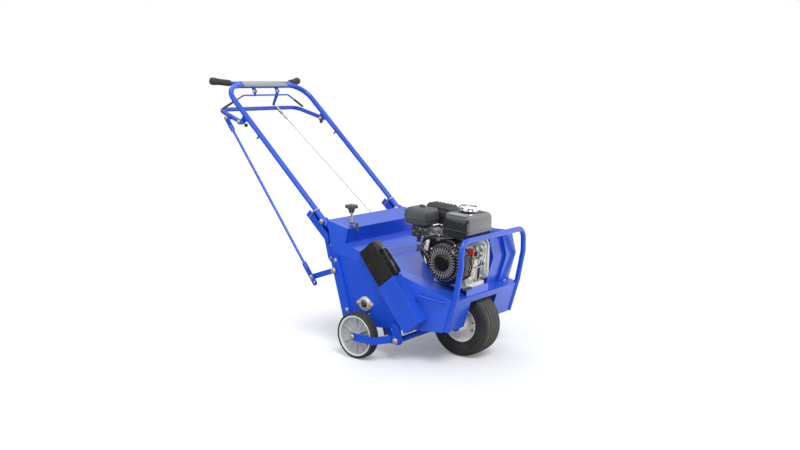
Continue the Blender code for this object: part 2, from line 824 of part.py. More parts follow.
COVER = [
    (0.234, 0.577),
    (0.112, 0.548),
    (0.127, 0.481),
    (0.034, 0.4515),
    (0.002, 0.411),
    (0.069, 0.410),
    (0.159, 0.426),
    (0.208, 0.443),
    (0.216, 0.471),
]
COVER_WALL = 0.003
COVER_INNER_HALF = HOUSING_HALF + 0.0005
KNOB_XY = (0.058 - HOUSING_HALF, 0.142)
KNOB_ROD_R = 0.005
CABLE_HIGH = (BAIL_BRACKET_X + 0.0065, *BAIL_ARM_END_YZ)
CABLE_LOW = (CABLE_LOW_X, *HANDLE_PIVOT_YZ)
CABLE_RUN = (Vector(CABLE_HIGH) - Vector(CABLE_LOW)).normalized()
EYE_CENTRE = Vector(CABLE_HIGH) - CABLE_RUN * (EYE_R - SPRING_WIRE_R - HOOK_PIN_R - HOOK_GAP)


def conduit_path():
    """Route of the cable's housing, from the fold axis through the cover to the belt guard."""
    start = Vector(CABLE_LOW) - CABLE_RUN * CONDUIT_START
    entry = start - CABLE_RUN * 0.090
    return [
        start,
        entry,
        Vector((0.085, 0.120, deck_z(0.120) + 0.014)),
        Vector((CONDUIT_X, 0.070, deck_z(0.070) + 0.014)),
        Vector((CONDUIT_X, -0.075, deck_z(-0.075) + 0.014)),
        Vector((CONDUIT_X, -0.115, deck_z(-0.115) + 0.040)),
        Vector((CONDUIT_X, -0.140, IDLER_PIVOT_YZ[1] - 0.012)),
    ]


def rear_cover():
    """Bent sheet cover of the chain case, open below."""
    half = COVER_INNER_HALF + COVER_WALL
    body = flat("rear_cover", COVER, -half, half)
    walls = inset(COVER, COVER_WALL)
    hollow = [
        (walls[7][0], 0.35),
        walls[7],
        walls[8],
        walls[0],
        walls[1],
        walls[2],
        walls[3],
        walls[4],
        (walls[4][0], 0.35),
    ]
    above_deck = [
        (-0.05, deck_z(-0.05) + GAP),
        (-0.05, 0.30),
        (DECK_REAR_Y + 0.004, 0.30),
        (DECK_REAR_Y + 0.004, deck_z(DECK_REAR_Y + 0.004) + GAP),
    ]
    inner = COVER_INNER_HALF
    start, entry = conduit_path()[:2]
    slot_start = Vector((CONDUIT_X, 0.060, deck_z(0.060) + 0.014))
    slot_end = Vector((CONDUIT_X, -0.030, deck_z(-0.030) + 0.014))
    return cut(
        body,
        flat("hollow", hollow, -inner, inner),
        flat("above_deck", above_deck, -inner, inner),
        cylinder("knob_hole", (*KNOB_XY, 0.5), (*KNOB_XY, 0.6), KNOB_ROD_R + RUN),
        cylinder("cable_hole", start, entry, CONDUIT_HOLE_R),
        cylinder("front_cable_hole", slot_start, slot_end, CONDUIT_HOLE_R),
    )


def star_knob():
    """Clamp bolt of the rear cover, with a lobed knob."""
    x, y = KNOB_XY
    foot = deck_z(y + KNOB_ROD_R) + GAP
    lobes = 6
    star = [
        (
            x + 0.0265 * (1 + 0.13 * math.cos(lobes * a)) * math.cos(a),
            y + 0.0265 * (1 + 0.13 * math.cos(lobes * a)) * math.sin(a),
        )
        for a in (2 * math.pi * k / 24 for k in range(24))
    ]
    disc = flat_z("star_knob", star, 0.630, 0.647, PLASTIC)
    boss = cylinder("boss", (x, y, 0.615), (x, y, 0.632), 0.012, PLASTIC, end_radius=0.016)
    rod = cylinder("rod", (x, y, foot), (x, y, 0.633), KNOB_ROD_R, ZINC)
    knob = fuse(disc, boss, rod)
    return pivot(knob, (x, y, foot))


def front_guard():
    """Bent tube hoop that guards the engine."""
    legs = []
    for side in (-1, 1):
        legs.append(
            [
                Vector((side * GUARD_HALF, *nose_point(NOSE_LENGTH - 0.004))),
                Vector((side * GUARD_HALF, *nose_point(-0.016))),
                Vector((side * GUARD_HALF, GUARD_TOP_Y, GUARD_TOP_Z - 0.10)),
                Vector((side * (GUARD_HALF - 0.002), GUARD_TOP_Y, GUARD_TOP_Z)),
            ]
        )
    path = rounded_path(legs[0] + legs[1][::-1], 0.045)
    return tube("front_guard", path, GUARD_R)


def belt_guard():
    """Sheet guard over the belt: a narrow box beside the engine and a wide one outside it."""
    wide = [
        (-0.110, BELT_GUARD_TOP_Z),
        (-0.413, BELT_GUARD_TOP_Z),
        (-0.437, BELT_GUARD_FRONT_Z),
        (-0.400, deck_z(-0.400) + GAP),
        (-0.045, deck_z(-0.045) + GAP),
        (-0.060, BELT_GUARD_REAR_Z),
    ]
    step = BELT_GUARD_STEP
    narrow = [
        (-0.115, BELT_GUARD_TOP_Z - step),
        (-0.413 + step, BELT_GUARD_TOP_Z - step),
        (-0.437 + step, BELT_GUARD_FRONT_Z),
        (-0.400 + step, deck_z(-0.400 + step) + GAP),
        (-0.055, deck_z(-0.055) + GAP),
        (-0.070, BELT_GUARD_REAR_Z - 0.005),
    ]
    body = fuse(
        flat("belt_guard", wide, BELT_GUARD_X1, BELT_GUARD_X2),
        flat("narrow_box", narrow, BELT_GUARD_X0, BELT_GUARD_X1 + 0.002),
    )
    wall = BELT_GUARD_WALL
    tools = []
    for outline, x0, x1 in (
        (wide, BELT_GUARD_X1 + wall, BELT_GUARD_X2 - wall),
        (narrow, BELT_GUARD_X0 + wall, BELT_GUARD_X1 + wall + 0.001),
    ):
        inner = inset(outline, wall)
        low = 0.25
        inner = inner[:3] + [line_at(inner[2], inner[3], low), line_at(inner[5], inner[4], low), inner[5]]
        tools.append(flat("hollow", inner, x0, x1))
    tools.append(rod_x("shaft_hole", BELT_GUARD_X0 - 0.01, BELT_GUARD_X0 + 0.01, CRANK_YZ, 0.030, sides=20))
    low = Vector((CONDUIT_X, -0.020, deck_z(-0.020) + 0.014))
    high = Vector((CONDUIT_X, -0.090, deck_z(-0.090) + 0.014))
    tools.append(cylinder("cable_hole", low, high, CONDUIT_HOLE_R))
    return cut(body, *tools)


MOUNT_IN = HANDLE_HALF - TUBE_R - MOUNT_SIDE_GAP
MOUNT_OUT = HANDLE_HALF + TUBE_R + MOUNT_SIDE_GAP
FOLD_BOLT_R = 0.005


def handle_mount(name, side):
    """Channel that the handle tube folds in, with the fold bolt and the foot on the side plate."""
    wall = MOUNT_WALL
    profile = [
        tube_point(MOUNT_UP, MOUNT_NEAR),
        tube_point(0.016, MOUNT_NEAR),
        tube_point(0.012, -0.010),
        tube_point(-0.012, -0.010),
        tube_point(-0.016, MOUNT_NEAR),
        tube_point(0.026 - MOUNT_DOWN, MOUNT_NEAR + 0.002),
        tube_point(-MOUNT_DOWN, MOUNT_FAR - 0.016),
        tube_point(-MOUNT_DOWN, MOUNT_FAR),
        tube_point(MOUNT_UP, MOUNT_FAR),
    ]
    block = flat("handle_mount_" + name, profile, *span(side, MOUNT_IN - wall, MOUNT_OUT + wall))
    room = [
        tube_point(MOUNT_UP + 0.02, -0.05),
        tube_point(-MOUNT_DOWN - 0.02, -0.05),
        tube_point(-MOUNT_DOWN - 0.02, MOUNT_FAR - wall),
        tube_point(MOUNT_UP + 0.02, MOUNT_FAR - wall),
    ]
    channel = cut(block, flat("room", room, *span(side, MOUNT_IN, MOUNT_OUT)))
    bolt = rod_x(
        "fold_bolt", side * (MOUNT_IN - 0.009), side * (MOUNT_OUT + 0.009), HANDLE_PIVOT_YZ, FOLD_BOLT_R,
    )
    foot_out = HOUSING_HALF - SHEET - GAP
    foot = [
        tube_point(-0.052, 0.022),
        tube_point(-0.045, MOUNT_FAR - 0.001),
        (0.236, 0.400),
        (0.214, 0.378),
        (0.165, 0.378),
        (0.165, 0.412),
        (0.200, 0.425),
        (0.224, 0.455),
    ]
    return fuse(channel, bolt, flat("foot", foot, *span(side, foot_out - 0.005, foot_out)))


def reel_bearing(name, side):
    near = HOUSING_HALF + GAP
    y, z = REEL_YZ
    flange = flat(
        "reel_bearing_" + name,
        hull((y, z, 0.033), (y - 0.0375, z, 0.0095), (y + 0.0375, z, 0.0095)),
        *span(side, near, near + 0.006),
        mat=CAST,
    )
    hub = cylinder(
        "hub", (side * (near + 0.001), y, z), (side * (near + 0.013), y, z), 0.023, CAST, end_radius=0.020,
    )
    hole = rod_x("bore", side * (near - 0.01), side * (near + 0.03), REEL_YZ, REEL_SHAFT_R + RUN)
    return cut(fuse(flange, hub), hole)


# Wheels


def front_rim():
    bore = FRONT_AXLE_R + RUN
    profile = [
        (FRONT_RIM_R, 0.048),
        (FRONT_RIM_R, -0.048),
        (FRONT_RIM_R - 0.006, -0.044),
        (0.060, -0.012),
        (0.030, -0.006),
        (0.022, -0.079),
        (bore, -0.079),
        (bore, 0.079),
        (0.022, 0.079),
        (0.030, 0.006),
        (0.060, 0.002),
        (FRONT_RIM_R - 0.006, 0.044),
    ]
    return turned("front_rim", profile, 0, (FRONT_WHEEL_Y, FRONT_TYRE_R), RIM, steps=WHEEL_STEPS)


def front_tyre():
    """Ribbed tyre: five ribs round the tread, with grooves between them."""
    half = FRONT_TYRE_W / 2
    seat = FRONT_RIM_R + GAP
    groove, depth = 0.0045, 0.0045
    tread = half - 0.008
    pitch = 2 * tread / 5

    def crown(x):
        return FRONT_TYRE_R - 0.0035 * (x / tread) ** 2

    outer = [(seat, 0.046), (0.108, half), (0.133, half - 0.003)]
    for k in range(5):
        right = tread - k * pitch - (groove / 2 if k else 0)
        left = tread - (k + 1) * pitch + (groove / 2 if k < 4 else 0)
        outer += [(crown(right), right), (crown(left), left)]
        if k < 4:
            outer.append((crown(left) - depth, left - groove / 2))
    outer += [(0.133, -half + 0.003), (0.108, -half), (seat, -0.046)]
    return turned("front_tyre", outer, 0, (FRONT_WHEEL_Y, FRONT_TYRE_R), RUBBER, steps=WHEEL_STEPS)


def wheel_fork():
    """Fork under the nose, with the fixed axle of the front wheel."""
    y, z = FRONT_WHEEL_Y, FRONT_TYRE_R
    fork_x, thick = 0.085, 0.006
    top = deck_strip(y - 0.045, y + 0.045, -SHEET * 1.04 - GAP, thick)
    bridge = flat("wheel_fork", top, -fork_x - thick / 2, fork_x + thick / 2)
    pieces = [rod_x("axle", -fork_x - 0.018, fork_x + 0.018, (y, z), FRONT_AXLE_R)]
    for side in (-1, 1):
        plate = hull((y, z, 0.026), (*top[3], 0.0005), (*top[2], 0.0005))
        pieces.append(flat("fork_plate", plate, *span(side, fork_x - thick / 2, fork_x + thick / 2)))
        inner = side * (fork_x + thick / 2 - 0.001)
        pieces.append(rod_x("nut", inner, side * (fork_x + 0.013), (y, z), 0.015, ZINC, sides=6))
    return fuse(bridge, *pieces)


def rear_wheel(name, side):
    """Moulded wheel with a hub, a web and six ribs on its outer face."""
    bore = REAR_STUB_R + RUN
    inner_rim = REAR_RIM_R - 0.009
    rim_half = REAR_TYRE_W / 2 - 0.003
    hub_r, hub_half, web = 0.0185, REAR_TYRE_W / 2 + 0.001, 0.003
    profile = [
        (REAR_RIM_R, rim_half),
        (REAR_RIM_R, -rim_half),
        (inner_rim + 0.003, -rim_half),
        (inner_rim, -web),
        (hub_r, -web),
        (hub_r - 0.002, -hub_half),
        (bore, -hub_half),
        (bore, hub_half),
        (hub_r - 0.002, hub_half),
        (hub_r, web),
        (inner_rim, web),
        (inner_rim + 0.003, rim_half),
    ]
    x = side * REAR_WHEEL_X
    yz = (0, REAR_TYRE_R)
    wheel = turned("rear_wheel_" + name, profile, x, yz, GREY, steps=WHEEL_STEPS)
    ribs = []
    for k in range(6):
        a = math.pi / 6 + k * math.pi / 3
        ends = [
            (yz[0] + r * math.cos(a), yz[1] + r * math.sin(a), 0.0017)
            for r in (hub_r - 0.003, inner_rim + 0.002)
        ]
        ribs.append(flat("rib", hull(*ends, sides=4), *span(side, REAR_WHEEL_X, REAR_WHEEL_X + 0.012)))
    return fuse(wheel, *ribs)


def rear_tyre(name, side):
    half = REAR_TYRE_W / 2
    seat = REAR_RIM_R + GAP
    profile = [
        (seat, half - 0.003),
        (REAR_TYRE_R - 0.006, half),
        (REAR_TYRE_R, half - 0.005),
        (REAR_TYRE_R, -half + 0.005),
        (REAR_TYRE_R - 0.006, -half),
        (seat, -half + 0.003),
    ]
    return turned(
        "rear_tyre_" + name, profile, side * REAR_WHEEL_X, (0, REAR_TYRE_R), RUBBER, steps=WHEEL_STEPS,
    )


# Transport frame and lift linkage

ARM_X = LUG_X1 + ARM_GAP + ARM_THICK / 2
WHEEL_SIDE = REAR_WHEEL_X + REAR_TYRE_W / 2 + 0.001 + WHEEL_SIDE_GAP
ARM_OUT_X = WHEEL_SIDE + ARM_THICK / 2
LINK_ARM_X = LINK_X - BAR_FLAT - 0.0015  # middle of the arms that the drop link hangs between


def wheel_frame():
    """Cross shaft with a bent arm and a stub axle for each transport wheel."""
    reach = ARM_X + ARM_THICK / 2 + 0.001
    shaft = rod_x("wheel_frame", -reach, reach, PIVOT_YZ, PIVOT_SHAFT_R, BLUE)
    pieces = []
    y0, z0 = PIVOT_YZ
    for side in (-1, 1):
        line = [(ARM_X, y0), (ARM_X, y0 + 0.028), (ARM_OUT_X, -0.110), (ARM_OUT_X, 0)]
        line = [(side * x, y) for x, y in line]
        plan = strip(line, ARM_THICK)
        level = (z0 + REAR_TYRE_R) / 2
        pieces.append(flat_z("arm", plan, level - ARM_HIGH / 2, level + ARM_HIGH / 2))
        for x, yz in ((ARM_X, PIVOT_YZ), (ARM_OUT_X, (0, REAR_TYRE_R))):
            near, far = x - ARM_THICK / 2 - ARM_BOSS, x + ARM_THICK / 2 + ARM_BOSS
            pieces.append(rod_x("end", *span(side, near, far), yz, ARM_HIGH / 2 + ARM_BOSS, BLUE))
        out = ARM_OUT_X + ARM_THICK / 2
        inner = REAR_WHEEL_X - REAR_TYRE_W / 2 - 0.006
        pieces.append(rod_x("stub", *span(side, inner, out), (0, REAR_TYRE_R), REAR_STUB_R, ZINC))
        pieces.append(
            rod_x(
                "stub_nut",
                *span(side, inner - 0.006, inner + 0.001),
                (0, REAR_TYRE_R),
                0.011,
                ZINC,
                sides=6,
            )
        )
        pieces.append(
            rod_x(
                "stub_head", *span(side, out - 0.001, out + 0.005), (0, REAR_TYRE_R), 0.011, ZINC, sides=6,
            )
        )
        edge = ARM_X + ARM_THICK / 2
        pieces.append(
            rod_x("pivot_nut", *span(side, edge - 0.001, edge + 0.007), PIVOT_YZ, 0.012, ZINC, sides=6)
        )
    pieces.append(
        flat(
            "link_arm",
            bar(PIVOT_YZ, LINK_LOW_YZ, BAR_WIDE),
            *span(-1, LINK_ARM_X - BAR_FLAT / 2, LINK_ARM_X + BAR_FLAT / 2),
        )
    )
    pieces.append(link_pin(LINK_LOW_YZ))
    return pivot(fuse(shaft, *pieces), (0, *PIVOT_YZ))


def link_pin(yz):
    out = LINK_X + BAR_FLAT / 2 + 0.0008
    pin = rod_x("link_pin", *span(-1, LINK_ARM_X, out + 0.001), yz, LINK_PIN_R, ZINC)
    head = rod_x("pin_head", *span(-1, out, out + 0.003), yz, LINK_PIN_R + 0.0035, ZINC)
    return fuse(pin, head)


LEVER_X = HOUSING_HALF + 0.012 + 0.0008 + BAR_FLAT / 2
ROD_HALF = BAR_FLAT / 2


def lift_lever():
    """Shaft through the frame angle, with the outer lever for the rod and the inner one for the link."""
    inner = LINK_ARM_X - BAR_FLAT / 2
    shaft = rod_x(
        "lift_lever", *span(-1, inner, LEVER_X + BAR_FLAT / 2 + 0.003), LEVER_YZ, LEVER_SHAFT_R, ZINC,
    )
    outer = flat(
        "outer",
        bar(LEVER_YZ, LEVER_PIN_YZ, BAR_WIDE),
        *span(-1, LEVER_X - BAR_FLAT / 2, LEVER_X + BAR_FLAT / 2),
    )
    arm = flat("inner", bar(LEVER_YZ, LINK_TOP_YZ, BAR_WIDE), *span(-1, inner, LINK_ARM_X + BAR_FLAT / 2))
    out = ROD_X + ROD_HALF + 0.0008
    pin = rod_x("rod_pin", *span(-1, LEVER_X, out + 0.001), LEVER_PIN_YZ, LINK_PIN_R, ZINC)
    head = rod_x("rod_pin_head", *span(-1, out, out + 0.004), LEVER_PIN_YZ, 0.009, ZINC, sides=6)
    nut = rod_x(
        "shaft_nut", *span(-1, LEVER_X, LEVER_X + BAR_FLAT / 2 + 0.005), LEVER_YZ, 0.0115, ZINC, sides=6,
    )
    return pivot(fuse(shaft, outer, arm, pin, head, nut, link_pin(LINK_TOP_YZ)), (0, *LEVER_YZ))


def drop_link():
    """Bent bar from the lift lever down to the transport frame."""
    x = span(-1, LINK_X - BAR_FLAT / 2, LINK_X + BAR_FLAT / 2)
    upper = flat("drop_link", bar(LINK_TOP_YZ, LINK_KNEE_YZ, BAR_WIDE), *x)
    lower = flat("lower", bar(LINK_KNEE_YZ, LINK_LOW_YZ, BAR_WIDE), *x)
    tools = [
        rod_x("top_hole", -LINK_X - 0.01, -LINK_X + 0.01, LINK_TOP_YZ, LINK_PIN_R + RUN),
        rod_x("low_hole", -LINK_X - 0.01, -LINK_X + 0.01, LINK_LOW_YZ, LINK_PIN_R + LINK_PLAY),
    ]
    return pivot(cut(fuse(upper, lower), *tools), (0, *LINK_TOP_YZ))


def lift_rod():
    """Long round rod with a flat strap at each end; the lower hole is a slanting slot."""
    top, low = Vector(LIFT_PIN_YZ), Vector(LEVER_PIN_YZ)
    along = (low - top).normalized()
    rod = cylinder(
        "lift_rod", (-ROD_X, *(top + along * 0.05)), (-ROD_X, *(low - along * 0.05)), ROD_R, BLUE, sides=14,
    )
    x = span(-1, ROD_X - ROD_HALF, ROD_X + ROD_HALF)
    upper = flat("upper", bar(top, top + along * 0.070, BAR_WIDE), *x)
    lower = flat("lower", bar(low - along * 0.070, low + along * 0.032, BAR_WIDE), *x)
    near, far = -ROD_X - 0.01, -ROD_X + 0.01
    across = Vector((-along.y, along.x))
    slot = bar(low, low + along * ROD_SLOT[0] + across * ROD_SLOT[1], 2 * (LINK_PIN_R + ROD_SLOT_PLAY))
    tools = [
        rod_x("top_hole", near, far, top, ROD_PIN_R + RUN),
        flat("low_slot", slot, near, far),
        rod_x("spare_hole", near, far, low + along * 0.026, 0.005),
    ]
    return pivot(cut(fuse(rod, upper, lower), *tools), (0, *top))


def lift_handle():
    """Bent tube that the operator raises, with its pivot eyes and the rod's pin."""
    legs = [
        [Vector((side * LIFT_PIVOT_X, *LIFT_PIVOT_YZ)), Vector((side * LIFT_BAR_HALF, *LIFT_BAR_YZ))]
        for side in (-1, 1)
    ]
    bar_tube = tube("lift_handle", rounded_path(legs[0] + legs[1][::-1], 0.045), LIFT_TUBE_R)
    pieces, tools = [], []
    for side in (-1, 1):
        ends = span(side, LIFT_PIVOT_X - LIFT_TUBE_R, LIFT_PIVOT_X + LIFT_TUBE_R)
        pieces.append(rod_x("eye", *ends, LIFT_PIVOT_YZ, 0.0125))
        tools.append(rod_x("eye_hole", ends[0] - 0.01, ends[1] + 0.01, LIFT_PIVOT_YZ, LINK_PIN_R + RUN))
    on_tube = (LIFT_PIN_YZ[0] + 0.004, LIFT_PIN_YZ[1] + 0.008)
    lug_x = span(-1, LIFT_PIVOT_X - 0.014, LIFT_PIVOT_X + 0.0035)
    lug = flat("rod_lug", hull((*LIFT_PIN_YZ, 0.009), (*on_tube, 0.009)), *lug_x)
    out = ROD_X + ROD_HALF + 0.0008
    pin = rod_x("pin", *span(-1, LIFT_PIVOT_X - 0.011, out + 0.001), LIFT_PIN_YZ, ROD_PIN_R, ZINC)
    head = rod_x("pin_head", *span(-1, out, out + 0.004), LIFT_PIN_YZ, 0.008, ZINC, sides=6)
    return pivot(cut(fuse(bar_tube, *pieces, lug, pin, head), *tools), (0, *LIFT_PIVOT_YZ))


# Handle


def in_handle(x, along, off=0.0):
    return Vector((x, *tube_point(along, off)))


def handle_frame():
    """Bent handle tube with the grip bar, the pivot brackets and the bail brackets."""
    legs = [
        [in_handle(side * HANDLE_HALF, -HANDLE_TAIL), in_handle(side * HANDLE_HALF, HANDLE_LENGTH)]
        for side in (-1, 1)
    ]
    frame = tube("handle_frame", rounded_path(legs[0] + legs[1][::-1], HANDLE_BEND_R), TUBE_R)
    top_y, top_z = tube_point(HANDLE_LENGTH)
    grip_y, grip_z = top_y + GRIP_WELD[0], top_z + GRIP_WELD[1]
    grip = [
        Vector((side * x, y, z))
        for side, x, y, z in (
            (-1, GRIP_OUTER - 0.004, grip_y + GRIP_SWEEP, grip_z + GRIP_RISE),
            (-1, GRIP_BEND_X, grip_y, grip_z),
            (1, GRIP_BEND_X, grip_y, grip_z),
            (1, GRIP_OUTER - 0.004, grip_y + GRIP_SWEEP, grip_z + GRIP_RISE),
        )
    ]
    pieces = [tube("grip_bar", rounded_path(grip, 0.03), GRIP_BAR_R)]
    pivot_in = LIFT_PIVOT_X - LIFT_TUBE_R - EAR_GAP
    along = (LIFT_PIVOT_YZ[0] - HANDLE_PIVOT_YZ[0]) * math.cos(HANDLE_ANGLE)
    along += (LIFT_PIVOT_YZ[1] - HANDLE_PIVOT_YZ[1]) * math.sin(HANDLE_ANGLE)
    bolts = []
    for side in (-1, 1):
        ear = hull(
            (*tube_point(along - 0.012), 0.009),
            (*tube_point(along + 0.012), 0.009),
            (*LIFT_PIVOT_YZ, 0.013),
        )
        pieces.append(flat("ear", ear, *span(side, pivot_in - 0.005, pivot_in)))
        out = LIFT_PIVOT_X + LIFT_TUBE_R + 0.0008
        pieces.append(
            rod_x("pivot_pin", *span(side, pivot_in - 0.003, out + 0.001), LIFT_PIVOT_YZ, LINK_PIN_R, ZINC)
        )
        pieces.append(rod_x("pivot_head", *span(side, out, out + 0.003), LIFT_PIVOT_YZ, 0.009, ZINC, sides=6))
        near = BAIL_BRACKET_X - 0.003
        tab = hull((top_y + 0.001, top_z - 0.003, 0.008), (*BAIL_YZ, 0.008), sides=14)
        pieces.append(flat("bail_bracket", tab, *span(side, near, BAIL_BRACKET_X)))
        pieces.append(
            rod_x(
                "bail_bolt",
                *span(side, near - 0.004, BAIL_BRACKET_X + 0.008),
                BAIL_YZ,
                BAIL_PIN_R,
                ZINC,
                sides=10,
            )
        )
        bolts.append(
            rod_x(
                "fold_hole",
                *span(side, HANDLE_HALF - 0.03, HANDLE_HALF + 0.03),
                HANDLE_PIVOT_YZ,
                FOLD_BOLT_R + RUN,
            )
        )
    return pivot(cut(fuse(frame, *pieces), *bolts), (0, *HANDLE_PIVOT_YZ))


def grip(name, side):
    """Rubber sleeve on the grip bar, swelling towards its outer end."""
    top_y, top_z = tube_point(HANDLE_LENGTH)
    base = Vector((side * GRIP_BEND_X, top_y + GRIP_WELD[0], top_z + GRIP_WELD[1]))
    tip = Vector((side * (GRIP_OUTER - 0.004), base.y + GRIP_SWEEP, base.z + GRIP_RISE))
    along = (tip - base).normalized()
    profile = [
        (0.024, GRIP_R),
        (0.034, GRIP_R),
        (0.085, GRIP_R),
        (0.108, GRIP_END_R),
        (0.122, GRIP_END_R),
        (0.130, 0.013),
    ]
    path = [base + along * d for d, r in profile]
    sleeve = tube("grip_" + name, path, 1, RUBBER, radii=[r for d, r in profile])
    bore_r = (GRIP_BAR_R + GAP) / math.cos(math.pi / 12)
    bore = cylinder("bore", base - along * 0.02, tip + along * GAP, bore_r)
    return cut(sleeve, bore)


def clutch_bail():
    """Wire bail under the top bar; squeezing it pulls the clutch cable."""
    low = (BAIL_YZ[0], BAIL_YZ[1] - BAIL_DROP)
    path = [
        Vector((-BAIL_END_X, *BAIL_END_YZ)),
        Vector((-BAIL_HALF, *low)),
        Vector((BAIL_HALF, *low)),
        Vector((BAIL_END_X, *BAIL_END_YZ)),
    ]
    rod = tube("clutch_bail", rounded_path(path, 0.018), BAIL_ROD_R, detail=1)
    pieces, tools = [], []
    for side in (-1, 1):
        near = BAIL_BRACKET_X + 0.0008
        # The left tab reaches down to the spring and is the bail's lever
        arm = [(*BAIL_ARM_END_YZ, 0.0070)] if side > 0 else []
        tab = hull((*BAIL_YZ, 0.0085), (*low, 0.006), *arm)
        pieces.append(flat("tab", tab, *span(side, near, near + 0.003)))
        out = BAIL_BRACKET_X + 0.012
        tools.append(rod_x("tab_hole", *span(side, near - 0.01, out), BAIL_YZ, BAIL_PIN_R + RUN))
        end = Vector((side * BAIL_END_X, *BAIL_END_YZ))
        start = Vector((side * BAIL_HALF, *low))
        away = (end - start).normalized()
        pieces.append(cylinder("sleeve", start.lerp(end, 0.42), end + away * 0.002, BAIL_SLEEVE_R, PLASTIC))
    near = BAIL_BRACKET_X + 0.0008
    pieces.append(rod_x("hook_pin", near + 0.001, near + 0.010, BAIL_ARM_END_YZ, HOOK_PIN_R, ZINC, sides=10))
    return pivot(cut(fuse(rod, *pieces), *tools), (0, *BAIL_YZ))


def spring_path():
    """Centre line of the spring: a hook round the lever's pin, the curls and a straight end."""
    eye = EYE_CENTRE
    down = -CABLE_RUN
    side = down.cross(Vector((1, 0, 0))).normalized()
    cross = down.cross(side).normalized()
    path = []
    hook_points = 10
    for k in range(hook_points):
        a = math.radians(60 + 275 * k / (hook_points - 1))
        path.append(eye + (side * math.sin(a) + down * math.cos(a)) * EYE_R)
    start = eye + down * (EYE_R + 0.010)
    points = 7
    total = SPRING_CURLS * points
    curl = []
    for k in range(total + 1):
        a = 2 * math.pi * k / points
        ease = min(1, k / points, (total - k) / points)
        along = SPRING_LENGTH * k / total
        curl.append(start + down * along + (side * math.cos(a) + cross * math.sin(a)) * SPRING_R * ease)
    end = start + down * (SPRING_LENGTH + 0.006)
    return path + curl + [end]


def least_gap(path, radius, skip):
    """The least gap of a tube to itself, between points that lie further apart along it."""
    return min(
        (path[i] - path[j]).length - 2 * radius
        for i in range(len(path))
        for j in range(i + skip, len(path))
    )


def clutch_spring():
    path = spring_path()
    print("least gap of the spring to itself, mm:", round(1000 * least_gap(path, SPRING_WIRE_R, 7), 2))
    return tube("clutch_spring", path, SPRING_WIRE_R, ZINC, detail=1)


def clutch_cable():
    """Wire with its screw adjuster, straight from the spring down to the fold axis."""
    down = -CABLE_RUN
    top = EYE_CENTRE + down * (EYE_R + 0.010 + SPRING_LENGTH + 0.006 + GAP)
    low = Vector(CABLE_LOW) + CABLE_RUN * GAP
    wire = cylinder("clutch_cable", top + down * 0.01, low, WIRE_R, STEEL, sides=8)
    body = cylinder("adjuster", top, top + down * ADJUSTER_LENGTH, ADJUSTER_R, ZINC, sides=12)
    nut = cylinder("nut", top + down * 0.012, top + down * 0.018, ADJUSTER_R + 0.002, ZINC, sides=6)
    return fuse(wire, body, nut)


def clutch_conduit():
    return tube("clutch_conduit", rounded_path(conduit_path(), 0.03), CONDUIT_R, PLASTIC)


# Tine reel


def reel_shaft():
    half = HOUSING_HALF + 0.016
    shaft = rod_x("reel_shaft", -half, half, REEL_YZ, REEL_SHAFT_R, STEEL)
    x0, x1 = CHAIN_X - SPROCKET_WIDE / 2, CHAIN_X + SPROCKET_WIDE / 2
    sprocket = flat("sprocket", toothed(REEL_YZ, BIG_SPROCKET_R, 18), x0, x1, STEEL)
    hub = rod_x("sprocket_hub", CHAIN_X - SPROCKET_HUB, CHAIN_X + SPROCKET_HUB, REEL_YZ, 0.024, STEEL)
    return pivot(fuse(shaft, sprocket, hub), (0, *REEL_YZ))


def toothed(centre, radius, teeth):
    """Outline of a sprocket whose teeth stay inside its chain."""
    outline = []
    for k in range(teeth):
        for share, depth in ((0.0, 0.0100), (0.5, 0.0062)):
            a = 2 * math.pi * (k + share) / teeth
            r = radius - depth
            outline.append((centre[0] + r * math.cos(a), centre[1] + r * math.sin(a)))
    return outline


def tine_wheel(number):
    """Disc with six coring tines, each a spoon that is open on its leading side."""
    pitch = 2 * REEL_HALF / (TINE_WHEELS - 1)
    x = -REEL_HALF + (number - 1) * pitch
    y, z = REEL_YZ
    disc = rod_x(f"tine_wheel_{number}", x - REEL_DISC / 2, x + REEL_DISC / 2, REEL_YZ, REEL_DISC_R, BLACK)
    free = CHAIN_X - SPROCKET_HUB - GAP
    ends = max(x - pitch / 2 + GAP, -free), min(x + pitch / 2 - GAP, free)
    hub = rod_x("hub", *ends, REEL_YZ, 0.0215, BLACK)
    pieces, tools = [hub], []
    turn = math.radians(12 * number)
    for k in range(TINES):
        a = turn + 2 * math.pi * k / TINES
        out = Vector((0, math.cos(a), math.sin(a)))
        lead = Vector((0, -math.sin(a), math.cos(a)))
        centre = Vector((x, y, z))
        foot, tip = centre + out * 0.058, centre + out * REEL_TIP_R
        pieces.append(cylinder("tine", foot, tip, TINE_R + 0.0015, BLACK, sides=6, end_radius=TINE_R - 0.001))
        channel = centre + lead * TINE_R * 0.5
        start, end = channel + out * 0.098, channel + out * (REEL_TIP_R + 0.01)
        tools.append(cylinder("channel", start, end, TINE_R * 0.9, sides=4))
    tools.append(rod_x("bore", x - pitch, x + pitch, REEL_YZ, REEL_SHAFT_R + GAP))
    wheel = fuse(disc, *pieces)
    return cut(wheel, *tools)


# Drive


def drive_pulley(radius):
    """Rim profile of a belt pulley, as radius and distance from its middle."""
    floor = radius - BELT_THICK / 2 - 0.0018
    rim = radius + BELT_THICK / 2
    wide, slot = PULLEY_WIDE / 2, BELT_WIDE / 2 + 0.0006
    return [(rim, wide), (rim, slot), (floor, slot), (floor, -slot), (rim, -slot), (rim, -wide)]


def shifted(profile, x):
    return [(r, along + x) for r, along in profile]


